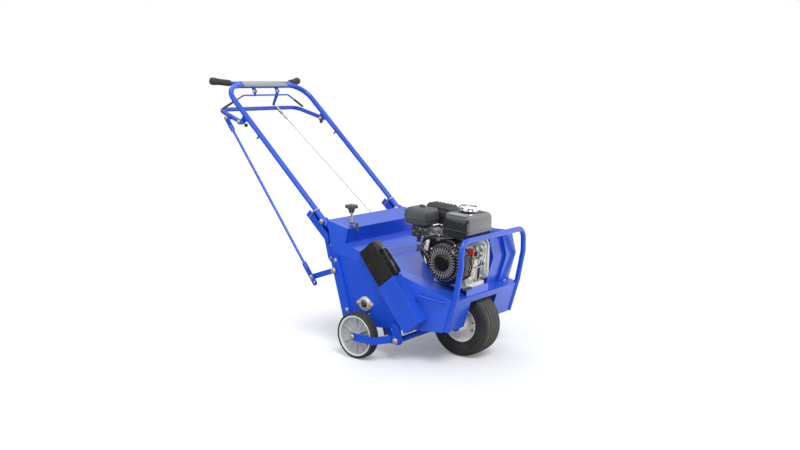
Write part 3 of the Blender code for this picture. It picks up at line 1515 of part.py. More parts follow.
def crank_pulley():
    """Crankshaft stub with the driving pulley."""
    profile = [(0, 0.094), (0.0095, 0.094), (0.0095, BELT_X + 0.010), (0.016, BELT_X + 0.010)]
    profile += [(0.016, BELT_X + PULLEY_WIDE / 2)] + shifted(drive_pulley(CRANK_PULLEY_R), BELT_X)
    profile += [(0.0095, BELT_X - PULLEY_WIDE / 2), (0.0095, 0.013), (0, 0.013)]
    return turned("crank_pulley", profile, 0, CRANK_YZ, STEEL, closed=False, steps=12)


def jackshaft():
    """Countershaft with the driven pulley inside the belt guard and the chain sprocket."""
    end = NOSE_HALF - 0.0005
    profile = [(0, end), (SHAFT_R, end), (SHAFT_R, BELT_X + 0.012), (0.018, BELT_X + 0.012)]
    profile += [(0.018, BELT_X + PULLEY_WIDE / 2)] + shifted(drive_pulley(SHAFT_PULLEY_R), BELT_X)
    profile += [(SHAFT_R, BELT_X - PULLEY_WIDE / 2), (SHAFT_R, HANGER_X - 0.009), (0, HANGER_X - 0.009)]
    shaft = turned("jackshaft", profile, 0, SHAFT_YZ, STEEL, closed=False, steps=12)
    x0, x1 = CHAIN_X - SPROCKET_WIDE / 2, CHAIN_X + SPROCKET_WIDE / 2
    sprocket = flat("sprocket", toothed(SHAFT_YZ, SMALL_SPROCKET_R, 12), x0, x1, STEEL)
    return pivot(fuse(shaft, sprocket), (0, *SHAFT_YZ))


def loop(name, circles, thick, x, wide, mat):
    """A belt or a chain drawn round two wheels."""
    outer = hull(*((y, z, r + thick / 2) for y, z, r in circles), sides=20)
    inner = hull(*((y, z, r - thick / 2) for y, z, r in circles), sides=20)
    return flat(name, outer, x - wide / 2, x + wide / 2, mat, holes=[inner])


def drive_belt():
    circles = ((*CRANK_YZ, CRANK_PULLEY_R), (*SHAFT_YZ, SHAFT_PULLEY_R))
    return loop("drive_belt", circles, BELT_THICK, BELT_X, BELT_WIDE, RUBBER)


def drive_chain():
    circles = ((*SHAFT_YZ, SMALL_SPROCKET_R), (*REEL_YZ, BIG_SPROCKET_R))
    return loop("drive_chain", circles, 0.009, CHAIN_X, 0.010, STEEL)


def idler_centre():
    """Idler's rest place, above the middle of the belt's upper run."""
    c1, c2 = Vector(CRANK_YZ), Vector(SHAFT_YZ)
    along = (c2 - c1).normalized()
    up = Vector((-along.y, along.x))
    lean = (CRANK_PULLEY_R - SHAFT_PULLEY_R) / (c2 - c1).length
    n = along * lean + up * math.sqrt(1 - lean * lean)
    middle = (c1 + n * CRANK_PULLEY_R + c2 + n * SHAFT_PULLEY_R) / 2
    return middle + n * (IDLER_R + BELT_THICK / 2 + IDLER_LIFT)


def idler_arm():
    """Arm that presses the idler on the belt when the bail is squeezed."""
    centre = idler_centre()
    x0 = BELT_X + 0.0105
    arm = flat("idler_arm", bar(IDLER_PIVOT_YZ, centre, 0.020), x0, x0 + 0.005, BLUE)
    pin = rod_x("pin", BELT_X - 0.0065, x0 + 0.002, centre, 0.005, ZINC)
    head = rod_x("head", BELT_X - 0.0085, BELT_X - 0.0062, centre, 0.0075, ZINC)
    hole = rod_x("hole", x0 - 0.01, x0 + 0.02, IDLER_PIVOT_YZ, 0.005 + RUN)
    return pivot(cut(fuse(arm, pin, head), hole), (0, *IDLER_PIVOT_YZ))


def idler_pulley():
    profile = ring_profile(0.005 + RUN, IDLER_R, 0.0055)
    return turned("idler_pulley", profile, BELT_X, tuple(idler_centre()), STEEL, steps=16)


# Engine, in its own frame

CYLINDER_LEAN = math.radians(25)
SHROUD_X0, SHROUD_X1 = -0.190, -0.1508
BLOCK_X0, BLOCK_X1 = -0.150, PTO_X
HEAD_REACH = 0.180
HEAD_HALF = 0.046
SWITCH_AT = (-0.130, -0.0748, 0.052)
TANK_Z0, TANK_Z1 = 0.108, 0.206


def barrel(along, across):
    """y, z of a point of the cylinder: along its bore and across it."""
    c, s = math.cos(CYLINDER_LEAN), math.sin(CYLINDER_LEAN)
    return (along * c - across * s, along * s + across * c)


def slab(a0, a1, half):
    return [barrel(a0, -half), barrel(a1, -half), barrel(a1, half), barrel(a0, half)]


def engine_block():
    """Crankcase on its feet, with the finned cylinder leaning to the rear."""
    case = hull(
        (-0.052, -0.070, 0.022), (0.055, -0.070, 0.022), (0.050, 0.045, 0.030), (-0.040, 0.050, 0.032),
    )
    block = flat("engine_block", case, BLOCK_X0, BLOCK_X1 - 0.012, CAST, ENGINE)
    cover = hull(
        (-0.050, -0.068, 0.030), (0.052, -0.068, 0.030), (0.046, 0.044, 0.038), (-0.036, 0.050, 0.038),
    )
    pieces = [flat("side_cover", cover, BLOCK_X1 - 0.014, BLOCK_X1, CAST, ENGINE)]
    pieces.append(
        box("foot", (-0.1485, -0.088, -FEET_DROP), (-0.018, 0.080, -FEET_DROP + 0.018), CAST, ENGINE)
    )
    pieces.append(flat("barrel", slab(0.030, HEAD_REACH - 0.02, 0.036), -0.112, -0.012, CAST, ENGINE))
    for k in range(5):
        a = 0.080 + 0.015 * k
        pieces.append(flat("fin", slab(a, a + 0.0035, 0.050), -0.1175, -0.001, CAST, ENGINE))
    pieces.append(
        flat("head", slab(HEAD_REACH - 0.030, HEAD_REACH - 0.012, HEAD_HALF), -0.1182, -0.006, CAST, ENGINE)
    )
    pieces.append(
        flat(
            "rocker_cover",
            slab(HEAD_REACH - 0.014, HEAD_REACH + 0.012, 0.034),
            -0.106,
            -0.018,
            CAST,
            ENGINE,
        )
    )
    boss = cylinder("filler_boss", (-0.018, -0.060, -0.058), (-0.018, -0.088, -0.050), 0.015, CAST, ENGINE)
    pieces.append(boss)
    pieces.append(rod_x("pto_boss", BLOCK_X1 - 0.004, BLOCK_X1 + 0.006, (0, 0), 0.026, CAST, ENGINE))
    pieces.append(box("tank_stay", (-0.130, -0.050, 0.070), (-0.060, 0.012, TANK_Z0 - GAP), CAST, ENGINE))
    x, y, z = SWITCH_AT
    pieces.append(
        box("switch_bracket", (x - 0.016, y + GAP, z - 0.016), (x + 0.016, -0.055, z + 0.012), CAST, ENGINE)
    )
    bore = rod_x("shaft_bore", 0.012 - GAP, 0.060, (0, 0), 0.0095 + RUN, CAST, ENGINE, sides=16)
    filler = cylinder(
        "filler_bore", (-0.018, -0.070, -0.0551), (-0.018, -0.096, -0.0477), 0.0095, CAST, ENGINE, 12,
    )
    return cut(fuse(block, *pieces), bore, filler)


def fan_shroud():
    """Pressed housing round the flywheel fan, open towards the block and the recoil starter."""
    outline = hull((0, 0, 0.098), (0.080, 0.035, 0.060), sides=24)
    body = flat("fan_shroud", outline, SHROUD_X0, SHROUD_X1, BLACK, ENGINE)
    soften(body, 0.004, 1)
    inner = flat("inside", inset(outline, 0.003), SHROUD_X0 + 0.003, SHROUD_X1 + 0.01, BLACK, ENGINE)
    mouth = rod_x(
        "mouth", SHROUD_X0 - 0.01, SHROUD_X0 + 0.01, (0, 0), RECOIL_R - 0.006, BLACK, ENGINE, sides=24,
    )
    bracket = [
        box("lug", (SHROUD_X1 - 0.004, -0.016, 0.090), (SHROUD_X1, 0.010, 0.096), BLACK, ENGINE),
    ]
    return cut(fuse(body, *bracket), inner, mouth)


PULL = Vector((0, 0.72, 0.69)).normalized()
GRIP_REST = Vector((-0.222, 0.108, 0.050))
NECK = 0.020  # from the middle of the pull handle to its rope guide
ROPE_R = 0.0025


def recoil_cover():
    """Domed starter cover with a ring of cooling slots and a plain centre."""
    seat = SHROUD_X0 - GAP
    wall = 0.0025
    outer = [
        (RECOIL_R, seat),
        (RECOIL_R - 0.004, seat - 0.016),
        (RECOIL_R - 0.014, RECOIL_X),
        (0.033, RECOIL_X - 0.002),
        (0.030, RECOIL_X - 0.006),
        (0, RECOIL_X - 0.006),
        (0, RECOIL_X - 0.006 + wall),
        (0.028, RECOIL_X - 0.006 + wall),
        (0.031, RECOIL_X - 0.002 + wall),
        (RECOIL_R - 0.015, RECOIL_X + wall),
        (RECOIL_R - 0.0065, seat - 0.015),
        (RECOIL_R - wall, seat),
    ]
    cover = turned("recoil_cover", outer, 0, (0, 0), BLACK, ENGINE, steps=18)
    guide = cylinder(
        "rope_guide", GRIP_REST - PULL * (NECK + GAP), GRIP_REST - PULL * 0.062, 0.0085, BLACK, ENGINE,
    )
    cover = fuse(cover, guide)
    bore = cylinder("rope_bore", GRIP_REST, GRIP_REST - PULL * 0.045, ROPE_R + 0.001, BLACK, ENGINE)
    bm = bmesh.new()
    slots = 18
    for k in range(slots):
        a = 2 * math.pi * (k + 0.5) / slots
        matrix = (
            Matrix.Rotation(a, 4, "X")
            @ Matrix.Translation((RECOIL_X, 0.050, 0))
            @ Matrix.Diagonal((0.012, 0.023, 0.0050, 1))
        )
        bmesh.ops.create_cube(bm, size=1, matrix=matrix)
    return cut(cover, mesh_object("slots", bm, BLACK, ENGINE), bore)


def recoil_handle():
    """Pull handle of the starter with the end of its rope."""
    across = Vector((0, -PULL.z, PULL.y))
    sizes = [
        (-0.030, 0.0055),
        (-0.026, 0.0085),
        (-0.010, 0.0095),
        (0.010, 0.0095),
        (0.026, 0.0085),
        (0.030, 0.0055),
    ]
    path = [GRIP_REST + across * d for d, r in sizes]
    handle = tube("recoil_handle", path, 1, PLASTIC, ENGINE, radii=[r for d, r in sizes])
    neck = cylinder("neck", GRIP_REST, GRIP_REST - PULL * NECK, 0.0075, PLASTIC, ENGINE, 12, end_radius=0.005)
    end = GRIP_REST - PULL * 0.036
    rope = cylinder("rope", GRIP_REST - PULL * 0.010, end, ROPE_R, PLASTIC, ENGINE, 8)
    return fuse(handle, neck, rope)


def fuel_tank():
    """Pressed tank with a folded seam and a filler neck."""
    low, high = (-0.190, -0.095, TANK_Z0), (0.012, 0.036, TANK_Z1)
    body = box("fuel_tank", low, high, BLACK, ENGINE)
    soften(body, 0.014)
    seam_z = TANK_Z0 + 0.030
    seam = box(
        "seam",
        (low[0] - 0.003, low[1] - 0.003, seam_z),
        (high[0] + 0.003, high[1] + 0.003, seam_z + 0.004),
        BLACK,
        ENGINE,
    )
    neck = cylinder("neck", (*CAP_XY, TANK_Z1 - 0.004), (*CAP_XY, TANK_Z1 + 0.006), 0.034, BLACK, ENGINE, 20)
    bore = cylinder("filler", (*CAP_XY, TANK_Z1 - 0.02), (*CAP_XY, TANK_Z1 + 0.03), 0.022, BLACK, ENGINE, 20)
    return cut(fuse(body, seam, neck), bore)


CAP_XY = (-0.078, -0.020)
CAP_R = 0.043


def turned_z(name, profile, x, y, mat, parent, steps=32, closed=True):
    """A shape turned about a vertical axis; the profile is (radius, z) from the top down."""
    obj = turned(name, profile, 0, (0, 0), mat, parent, steps, closed)
    obj.rotation_euler = (0, 0, 0)
    obj.location = (x, y, 0)
    return obj


def fuel_cap():
    """Screw cap with a gripping rim; its plug stands in the filler neck."""
    top = TANK_Z1 + 0.026
    seat = TANK_Z1 + 0.006 + GAP
    plug = 0.0205
    profile = [
        (0, top),
        (0.024, top),
        (CAP_R - 0.005, top - 0.005),
        (CAP_R, top - 0.010),
        (CAP_R, seat),
        (plug, seat),
        (plug, TANK_Z1 - 0.006),
        (0, TANK_Z1 - 0.006),
    ]
    cap_body = turned_z("fuel_cap", profile, *CAP_XY, CHROME, ENGINE, closed=False, steps=20)
    bm = bmesh.new()
    for k in range(12):
        a = 2 * math.pi * k / 12
        matrix = (
            Matrix.Translation((*CAP_XY, top - 0.008))
            @ Matrix.Rotation(a, 4, "Z")
            @ Matrix.Translation((CAP_R + 0.002, 0, 0))
            @ Matrix.Rotation(math.pi / 4, 4, "Z")
            @ Matrix.Diagonal((0.005, 0.005, 0.026, 1))
        )
        bmesh.ops.create_cube(bm, size=1, matrix=matrix)
    done = cut(cap_body, mesh_object("flutes", bm, CHROME, ENGINE))
    return pivot(done, (*CAP_XY, TANK_Z1))


def air_cleaner():
    """Air cleaner case with its lid, wing knob and elbow to the carburettor."""
    body = box("air_cleaner", (-0.193, 0.118, 0.128), (-0.085, 0.230, 0.198), PLASTIC, ENGINE)
    soften(body, 0.012)
    lid = box("lid", (-0.196, 0.115, 0.152), (-0.082, 0.233, 0.156), PLASTIC, ENGINE)
    knob = flat("knob", hull((0.162, 0.204, 0.006), (0.186, 0.204, 0.006)), -0.143, -0.137, PLASTIC, ENGINE)
    stem = cylinder("stem", (-0.140, 0.174, 0.193), (-0.140, 0.174, 0.205), 0.007, PLASTIC, ENGINE, 12)
    elbow = box("elbow", (-0.146, 0.126, 0.122 + GAP), (-0.1188, 0.164, 0.130), PLASTIC, ENGINE)
    return fuse(body, lid, knob, stem, elbow)


def muffler():
    """Exhaust box under a ribbed heat guard, with its pipe to the cylinder head."""
    low, high = (-0.078, 0.081, 0.124), (0.026, 0.217, 0.188)
    body = box("muffler", low, high, BLACK, ENGINE)
    soften(body, 0.010, 1)
    guard = box("guard", (-0.070, 0.089, 0.183), (0.018, 0.209, 0.204), BLACK, ENGINE)
    soften(guard, 0.006, 1)
    ribs = []
    for k in range(6):
        y = 0.101 + 0.019 * k
        ribs.append(box("rib", (-0.062, y, 0.196), (0.010, y + 0.006, 0.2075), BLACK, ENGINE))
    port = HEAD_REACH - 0.021
    foot, up = barrel(port, HEAD_HALF + 0.0005), barrel(port, HEAD_HALF + 0.030)
    pipe = cylinder("pipe", (-0.040, *up), (-0.040, *foot), 0.0085, BLACK, ENGINE)
    return fuse(body, guard, *ribs, pipe)


def carburettor():
    """Carburettor between the air cleaner's elbow and the inlet side of the head."""
    x0, x1 = -0.147, -0.1185
    body = box("carburettor", (x0, 0.122, 0.070), (x1, 0.168, 0.122), CAST, ENGINE)
    bowl = cylinder("bowl", (-0.133, 0.145, 0.046), (-0.133, 0.145, 0.074), 0.0135, CAST, ENGINE)
    lever_post = rod_x("choke_post", x0 - 0.006, x0 + 0.002, (0.152, 0.106), 0.004, ZINC, ENGINE, sides=12)
    return fuse(body, bowl, lever_post)


def choke_lever():
    x1 = -0.147 - GAP
    plate = flat(
        "choke_lever", hull((0.152, 0.106, 0.009), (0.186, 0.098, 0.005)), x1 - 0.003, x1, PLASTIC, ENGINE,
    )
    tip = flat("tip", hull((0.180, 0.099, 0.006), (0.192, 0.097, 0.006)), x1 - 0.012, x1, PLASTIC, ENGINE)
    hole = rod_x("hole", x1 - 0.02, x1 + 0.01, (0.152, 0.106), 0.004 + RUN, PLASTIC, ENGINE, sides=12)
    return pivot(cut(fuse(plate, tip), hole), (0, 0.152, 0.106))


THROTTLE_AT = (-0.160, -0.002, 0.0985)


def throttle_lever():
    """Flat lever on the shroud, swinging level, with a raised end."""
    x, y, z = THROTTLE_AT
    z0 = z + GAP
    lever = flat_z(
        "throttle_lever", hull((x, y, 0.009), (x - 0.052, y + 0.030, 0.006)), z0, z0 + 0.0025, STEEL, ENGINE,
    )
    tip = flat_z(
        "tip",
        hull((x - 0.050, y + 0.029, 0.006), (x - 0.058, y + 0.0335, 0.006)),
        z0 - 0.008,
        z0 + 0.0025,
        STEEL,
        ENGINE,
    )
    return pivot(fuse(lever, tip), (x, y, z0))


def engine_switch():
    """Red turning switch on the front of the crankcase."""
    x, y, z = SWITCH_AT
    body = cylinder("engine_switch", (x, y, z), (x, y - 0.012, z), 0.013, RED, ENGINE)
    ridge = box("ridge", (x - 0.004, y - 0.022, z - 0.014), (x + 0.004, y - 0.008, z + 0.014), RED, ENGINE)
    return pivot(fuse(body, ridge), (x, y, z))


def oil_filler_cap():
    start = Vector((-0.018, -0.088, -0.050))
    out = (start - Vector((-0.018, -0.060, -0.058))).normalized()
    base = start + out * GAP
    head = cylinder("oil_filler_cap", base, base + out * 0.010, 0.016, GREY, ENGINE, 8)
    grip_bar = cylinder("wing", base + out * 0.008, base + out * 0.018, 0.009, GREY, ENGINE, 4)
    plug = cylinder("plug", base + out * 0.001, base - out * 0.012, 0.0088, GREY, ENGINE, 16)
    return pivot(fuse(head, grip_bar, plug), base)


deck_housing()
front_panel()
both_sides(side_plate)
both_sides(weight_bin)
both_sides(side_weight)
rear_cover()
star_knob()
front_guard()
belt_guard()
both_sides(handle_mount)
both_sides(reel_bearing)
front_rim()
front_tyre()
wheel_fork()
both_sides(rear_wheel)
both_sides(rear_tyre)
wheel_frame()
lift_lever()
drop_link()
lift_rod()
lift_handle()
handle_frame()
both_sides(grip)
clutch_bail()
clutch_spring()
clutch_cable()
clutch_conduit()
reel_shaft()
for number in range(1, TINE_WHEELS + 1):
    tine_wheel(number)
crank_pulley()
jackshaft()
drive_belt()
drive_chain()
idler_arm()
idler_pulley()
engine_block()
fan_shroud()
recoil_cover()
recoil_handle()
fuel_tank()
fuel_cap()
air_cleaner()
muffler()
carburettor()
choke_lever()
throttle_lever()
engine_switch()
oil_filler_cap()

# The origin lies under the middle of the whole machine
bpy.context.view_layer.update()
graph = bpy.context.evaluated_depsgraph_get()
reach = [
    (obj.matrix_world @ vert.co).y
    for obj in PARTS.objects
    if obj.type != "EMPTY"
    for vert in obj.evaluated_get(graph).to_mesh().vertices
]
FRAME.location.y = -(min(reach) + max(reach)) / 2
print("machine origin moved by, mm:", round(1000 * FRAME.location.y, 3))
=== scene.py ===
"""Looks of the lawn aerator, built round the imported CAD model.

Shapes are in millimetres, with +Z up: in machine coordinates, whose y starts at the transport wheels' axle, or in
engine coordinates, which start at its crankshaft. piece() brings them into the frame, in metres.
"""

from functools import partial
from math import ceil, copysign, cos, degrees, hypot, pi, radians, sin, tan

import bmesh
import bpy
from mathutils import Matrix, Vector


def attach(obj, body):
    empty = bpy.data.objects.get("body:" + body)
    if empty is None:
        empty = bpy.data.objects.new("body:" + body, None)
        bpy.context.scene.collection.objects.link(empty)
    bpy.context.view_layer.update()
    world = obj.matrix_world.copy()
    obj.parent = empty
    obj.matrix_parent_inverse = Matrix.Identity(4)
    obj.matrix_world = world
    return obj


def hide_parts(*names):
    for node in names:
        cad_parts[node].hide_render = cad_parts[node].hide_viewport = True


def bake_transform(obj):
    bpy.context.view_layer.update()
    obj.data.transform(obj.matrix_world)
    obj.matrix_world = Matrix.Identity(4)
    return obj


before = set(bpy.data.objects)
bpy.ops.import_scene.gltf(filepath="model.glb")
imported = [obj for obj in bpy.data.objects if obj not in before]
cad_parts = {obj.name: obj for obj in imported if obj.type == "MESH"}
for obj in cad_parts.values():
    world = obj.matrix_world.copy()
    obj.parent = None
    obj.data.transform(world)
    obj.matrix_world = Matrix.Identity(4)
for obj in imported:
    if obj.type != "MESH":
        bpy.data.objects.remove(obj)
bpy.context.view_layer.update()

MM = 0.001
MACHINE = Matrix.Translation((0, -0.258189, 0)) @ Matrix.Scale(MM, 4)
ENGINE = MACHINE @ Matrix.Translation((0, -348, 444)) @ Matrix.Rotation(radians(4.5), 4, "X")
SHARP = radians(38)
SOFT = radians(48)  # for pressed and moulded boxes
SAME_POINT = 0.001
X_AXIS, Z_AXIS = (1, 0, 0), (0, 0, 1)


# Materials


def tree_of(name):
    mat = bpy.data.materials.new(name)
    mat.use_nodes = True
    nodes, links = mat.node_tree.nodes, mat.node_tree.links
    return mat, nodes, links, nodes["Principled BSDF"]


def add(nodes, kind, operation=None, **values):
    """A shader node with these inputs set, an underscore standing for a space in an input's name."""
    made = nodes.new("ShaderNode" + kind)
    if operation:
        made.operation = operation
    for socket, value in values.items():
        made.inputs[socket.replace("_", " ")].default_value = value
    return made


def noise_node(nodes, links, scale, detail, roughness=0.55, stretch=None):
    where = nodes.new("ShaderNodeTexCoord").outputs["Object"]
    tex = add(nodes, "TexNoise", Scale=scale, Detail=detail, Roughness=roughness)
    if stretch:
        mapping = add(nodes, "Mapping", Scale=stretch)
        links.new(where, mapping.inputs["Vector"])
        where = mapping.outputs["Vector"]
    links.new(where, tex.inputs["Vector"])
    return tex.outputs["Fac"]


def shade(colour):
    """A colour with its alpha, from three numbers or one grey."""
    return (*colour, 1) if isinstance(colour, tuple) else (colour, colour, colour, 1)


def ramp(nodes, links, source, stops):
    made = nodes.new("ShaderNodeValToRGB")
    for k, (at, colour) in enumerate(stops):
        stop = made.color_ramp.elements[k] if k < 2 else made.color_ramp.elements.new(at)
        stop.position = at
        stop.color = shade(colour)
    links.new(source, made.inputs["Fac"])
    return made.outputs["Color"]


def mask(nodes, links, source, start, end, share=1):
    """Black up to the start, and a grey of that share from the end."""
    return ramp(nodes, links, source, [(start, 0), (end, share)])


def mixed(nodes, links, factor, first, second, blend="MIX"):
    """A mix of two colours, each a socket or a value."""
    mix = nodes.new("ShaderNodeMix")
    mix.data_type = "RGBA"
    mix.blend_type = blend
    for index, source in ((0, factor), (6, first), (7, second)):
        if isinstance(source, bpy.types.NodeSocket):
            links.new(source, mix.inputs[index])
        else:
            mix.inputs[index].default_value = source
    return mix.outputs[2]


def either(nodes, links, factor, first, second):
    """The first shader, or the second where the factor is 1."""
    pick = nodes.new("ShaderNodeMixShader")
    for source, socket in zip((factor, first.outputs[0], second.outputs[0]), pick.inputs):
        links.new(source, socket)
    return pick


def surface(name, dark, light, rough, metal=0, coat=0, patches=6, grain=300, bump=0.05, depth=0.0004,
        rough_span=0.08, stretch=None, specks=None, edge_wear_and_sheen=None, shine=0.5):
    """A material whose colour drifts between two tones, with its own grain, gloss and edges."""
    mat, nodes, links, shader = tree_of(name)
    big = noise_node(nodes, links, patches, 4, 0.6, stretch)
    colour = ramp(nodes, links, big, [(0.3, dark), (0.7, light)])
    fine = noise_node(nodes, links, grain, 2)
    if specks:
        where, tint = specks
        colour = mixed(nodes, links, mask(nodes, links, fine, where, where + 0.05), colour, shade(tint))
    # Tinted edges: real wear on most materials; on the blue coat the lighter blue is a painted highlight.
    if edge_wear_and_sheen:
        share, tint = edge_wear_and_sheen
        edges = nodes.new("ShaderNodeNewGeometry").outputs["Pointiness"]
        colour = mixed(nodes, links, mask(nodes, links, edges, 0.53, 0.60, share), colour, shade(tint))
    links.new(colour, shader.inputs["Base Color"])
    spread = add(nodes, "MapRange", To_Min=max(0.02, rough - rough_span), To_Max=rough + rough_span)
    links.new(big, spread.inputs["Value"])
    links.new(spread.outputs["Result"], shader.inputs["Roughness"])
    if bump:
        relief = add(nodes, "Bump", Strength=bump, Distance=depth)
        links.new(fine, relief.inputs["Height"])
        links.new(relief.outputs["Normal"], shader.inputs["Normal"])
    for socket, value in (("Metallic", metal), ("Specular IOR Level", shine), ("Coat Weight", coat),
            ("Coat Roughness", 0.08)):
        shader.inputs[socket].default_value = value
    return mat


# The lighter blue this coat takes on its edges is a painted highlight.
BLUE = surface("blue_powder_coat", (0.005, 0.064, 0.56), (0.008, 0.086, 0.69), 0.34, coat=0.45,
    shine=0.35, grain=260, bump=0.1, edge_wear_and_sheen=(0.25, (0.1, 0.22, 0.95)))
TANK = surface("black_gloss_enamel", (0.013, 0.015, 0.019), (0.02, 0.023, 0.028), 0.2, coat=1,
    grain=180, bump=0.03)
SHROUD = surface("black_shroud_enamel", (0.005, 0.005, 0.006), (0.01, 0.01, 0.011), 0.28, coat=0.5,
    shine=0.2, grain=240, bump=0.06)
PLASTIC = surface("black_moulded_plastic", (0.058, 0.062, 0.066), (0.088, 0.093, 0.099), 0.4,
    grain=700, bump=0.25, edge_wear_and_sheen=(0.3, 0.1))
HEATED = surface("black_heat_paint", 0.016, (0.036, 0.035, 0.034), 0.46, grain=420, bump=0.3)
RUBBER = surface("grip_rubber", (0.03, 0.031, 0.033), (0.05, 0.051, 0.054), 0.72, grain=520, bump=0.4)
TYRE = surface("tyre_rubber", 0.018, (0.042, 0.041, 0.039), 0.78, patches=14, grain=420, bump=0.5,
    edge_wear_and_sheen=(0.35, (0.13, 0.125, 0.11)))
GROOVE = surface("tyre_groove_dust", (0.17, 0.16, 0.13), (0.31, 0.295, 0.25), 0.92, patches=30, grain=500,
    bump=0.5)
ZINC = surface("yellow_zinc", (0.62, 0.5, 0.26), (0.84, 0.77, 0.56), 0.32, metal=0.65, patches=90, grain=500,
    bump=0.15)
BRIGHT = surface("bright_zinc", (0.52, 0.52, 0.5), (0.74, 0.74, 0.72), 0.3, metal=1, patches=70, grain=500,
    bump=0.12)
STEEL = surface("plain_steel", (0.22, 0.21, 0.2), (0.42, 0.41, 0.39), 0.38, metal=1, patches=40, grain=380,
    bump=0.2)
WIRE = surface("steel_wire_rope", (0.035, 0.035, 0.036), (0.13, 0.13, 0.128), 0.45, metal=0.4, patches=600,
    grain=900, bump=0.6)
CAST = surface("cast_aluminium", (0.44, 0.45, 0.44), (0.66, 0.67, 0.65), 0.46, metal=0.35,
    patches=26, grain=340, bump=0.45, depth=0.0006, edge_wear_and_sheen=(0.5, (0.75, 0.75, 0.73)))
CHROME = surface("bright_chrome", (0.72, 0.73, 0.75), (0.86, 0.87, 0.88), 0.09, metal=1, patches=30,
    grain=200, bump=0, rough_span=0.03)
GALVANISED = surface("galvanised_rim", (0.78, 0.77, 0.74), (0.92, 0.91, 0.88), 0.42, patches=55,
    grain=240, bump=0.15, edge_wear_and_sheen=(0.4, (0.8, 0.79, 0.76)))
SPOKES = surface("grey_moulded_nylon", (0.34, 0.35, 0.36), (0.46, 0.47, 0.48), 0.5, grain=420,
    bump=0.2, edge_wear_and_sheen=(0.4, 0.62))
RING = surface("white_rim_ring", (0.66, 0.66, 0.65), (0.8, 0.8, 0.79), 0.42, bump=0.1)
PLATE = surface("grey_bare_plate", (0.26, 0.28, 0.29), (0.36, 0.38, 0.39), 0.4, metal=0.2,
    patches=30, grain=600, bump=0.2, stretch=(0.2, 1, 1))
RED = surface("red_gloss_plastic", (0.62, 0.012, 0.014), (0.8, 0.03, 0.025), 0.25, coat=0.5, grain=200,
    bump=0.02)
WEIGHT = surface("speckled_weight_coat", 0.006, (0.014, 0.014, 0.013), 0.34, coat=0.35, shine=0.3,
    patches=20, grain=650, bump=0.6, depth=0.0008, specks=(0.63, (0.26, 0.27, 0.23)))
SLEEVE = surface("black_vinyl_sleeve", (0.012, 0.012, 0.013), (0.022, 0.022, 0.024), 0.4, bump=0.1)
BRASS = surface("brass_fitting", (0.5, 0.34, 0.1), (0.68, 0.5, 0.2), 0.3, metal=1, patches=60, bump=0.1)
BELT = surface("belt_rubber", 0.016, (0.03, 0.029, 0.028), 0.85, bump=0.4)
TINE = surface("worn_tine_steel", (0.1, 0.095, 0.09), (0.3, 0.28, 0.26), 0.42, metal=0.9, patches=24,
    grain=260, bump=0.4, edge_wear_and_sheen=(0.7, (0.55, 0.54, 0.52)))
POT_METAL = surface("grey_pot_metal", (0.09, 0.09, 0.088), (0.2, 0.2, 0.195), 0.48, metal=0.6, patches=60,
    grain=420, bump=0.4, edge_wear_and_sheen=(0.5, (0.5, 0.5, 0.49)))
PULL_GREY = surface("grey_pull_handle", (0.05, 0.047, 0.044), (0.085, 0.08, 0.074), 0.55, grain=500,
    bump=0.2)
LOUVRE = surface("grey_black_louvres", (0.19, 0.19, 0.195), (0.28, 0.28, 0.285), 0.36, grain=500,
    bump=0.1)
# Flat dark matt fill set inside openings and hollows: painted shade.
SHADE_FILL = surface("painted_shade_fill", 0.004, 0.008, 0.9, grain=200, bump=0)

# Shapes, each a bmesh in millimetres


def turns(steps, start=0):
    """Angles spread evenly round a circle, the first of them a share of a step on."""
    return [2 * pi * (k + start) / steps for k in range(steps)]


def polar(y, z, r, a):
    return (y + r * cos(a), z + r * sin(a))


def circle(y, z, r, sides=24):
    return [polar(y, z, r, a) for a in turns(sides)]


def mirrored(profile, *middle):
    """A profile, what lies in its middle, and its mirror image beyond 0."""
    return profile + list(middle) + [(r, -x) for r, x in profile[::-1]]


def rounded(points, radius, step=8):
    """A line with each corner turned at a bend radius."""
    points = [Vector(p) for p in points]
    path = [points[0]]
    for before, corner, after in zip(points, points[1:], points[2:]):
        u, v = (before - corner).normalized(), (after - corner).normalized()
        half = u.angle(v) / 2
        reach = min(radius / tan(half), 0.49 * min((before - corner).length, (after - corner).length))
        centre = corner + (u + v).normalized() * reach / cos(half)
        start, end = corner + u * reach - centre, corner + v * reach - centre
        turn = start.angle(end)
        steps = max(2, ceil(degrees(turn) / step))
        for k in range(steps + 1):
            t = k / steps
            path.append(centre + (start * sin((1 - t) * turn) + end * sin(t * turn)) / sin(turn))
    path.append(points[-1])
    return path


def skin(rows, closed=False, ends=True):
    """Faces between rows of points, each of them a loop. A closed one also joins its last row to its first."""
    bm = bmesh.new()
    rings = [[bm.verts.new(p) for p in row] for row in rows]
    for low, high in zip(rings, rings[1:] + rings[:1] if closed else rings[1:]):
        for k, vert in enumerate(low):
            j = (k + 1) % len(low)
            bm.faces.new((vert, low[j], high[j], high[k]))
    if ends and not closed:
        bm.faces.new(rings[0][::-1])
        bm.faces.new(rings[-1])
    return bm


def sweep(points, radius, sides=20, radii=None, closed=False):
    """A round bar along a line, with closed ends."""
    points = [Vector(p) for p in points]
    n = len(points)

    def direction(k):
        a = points[(k - 1) % n] if closed or k else points[0]
        b = points[(k + 1) % n] if closed or k < n - 1 else points[-1]
        return (b - a).normalized()

    normal = direction(0).orthogonal().normalized()
    rows = []
    for k, point in enumerate(points):
        d = direction(k)
        normal = (normal - d * normal.dot(d)).normalized()
        other = d.cross(normal)
        r = radii[k] if radii else radius
        rows.append([point + (normal * cos(a) + other * sin(a)) * r for a in turns(sides)])
    return skin(rows, closed)


def pin(start, end, radius, sides=24, chamfer=0):
    """A straight round bar, with its ends chamfered."""
    start, end = Vector(start), Vector(end)
    if not chamfer:
        return sweep([start, end], radius, sides)
    along = (end - start).normalized() * chamfer
    return sweep([start, start + along, end - along, end], radius, sides, [radius - chamfer, radius, radius,
        radius - chamfer])


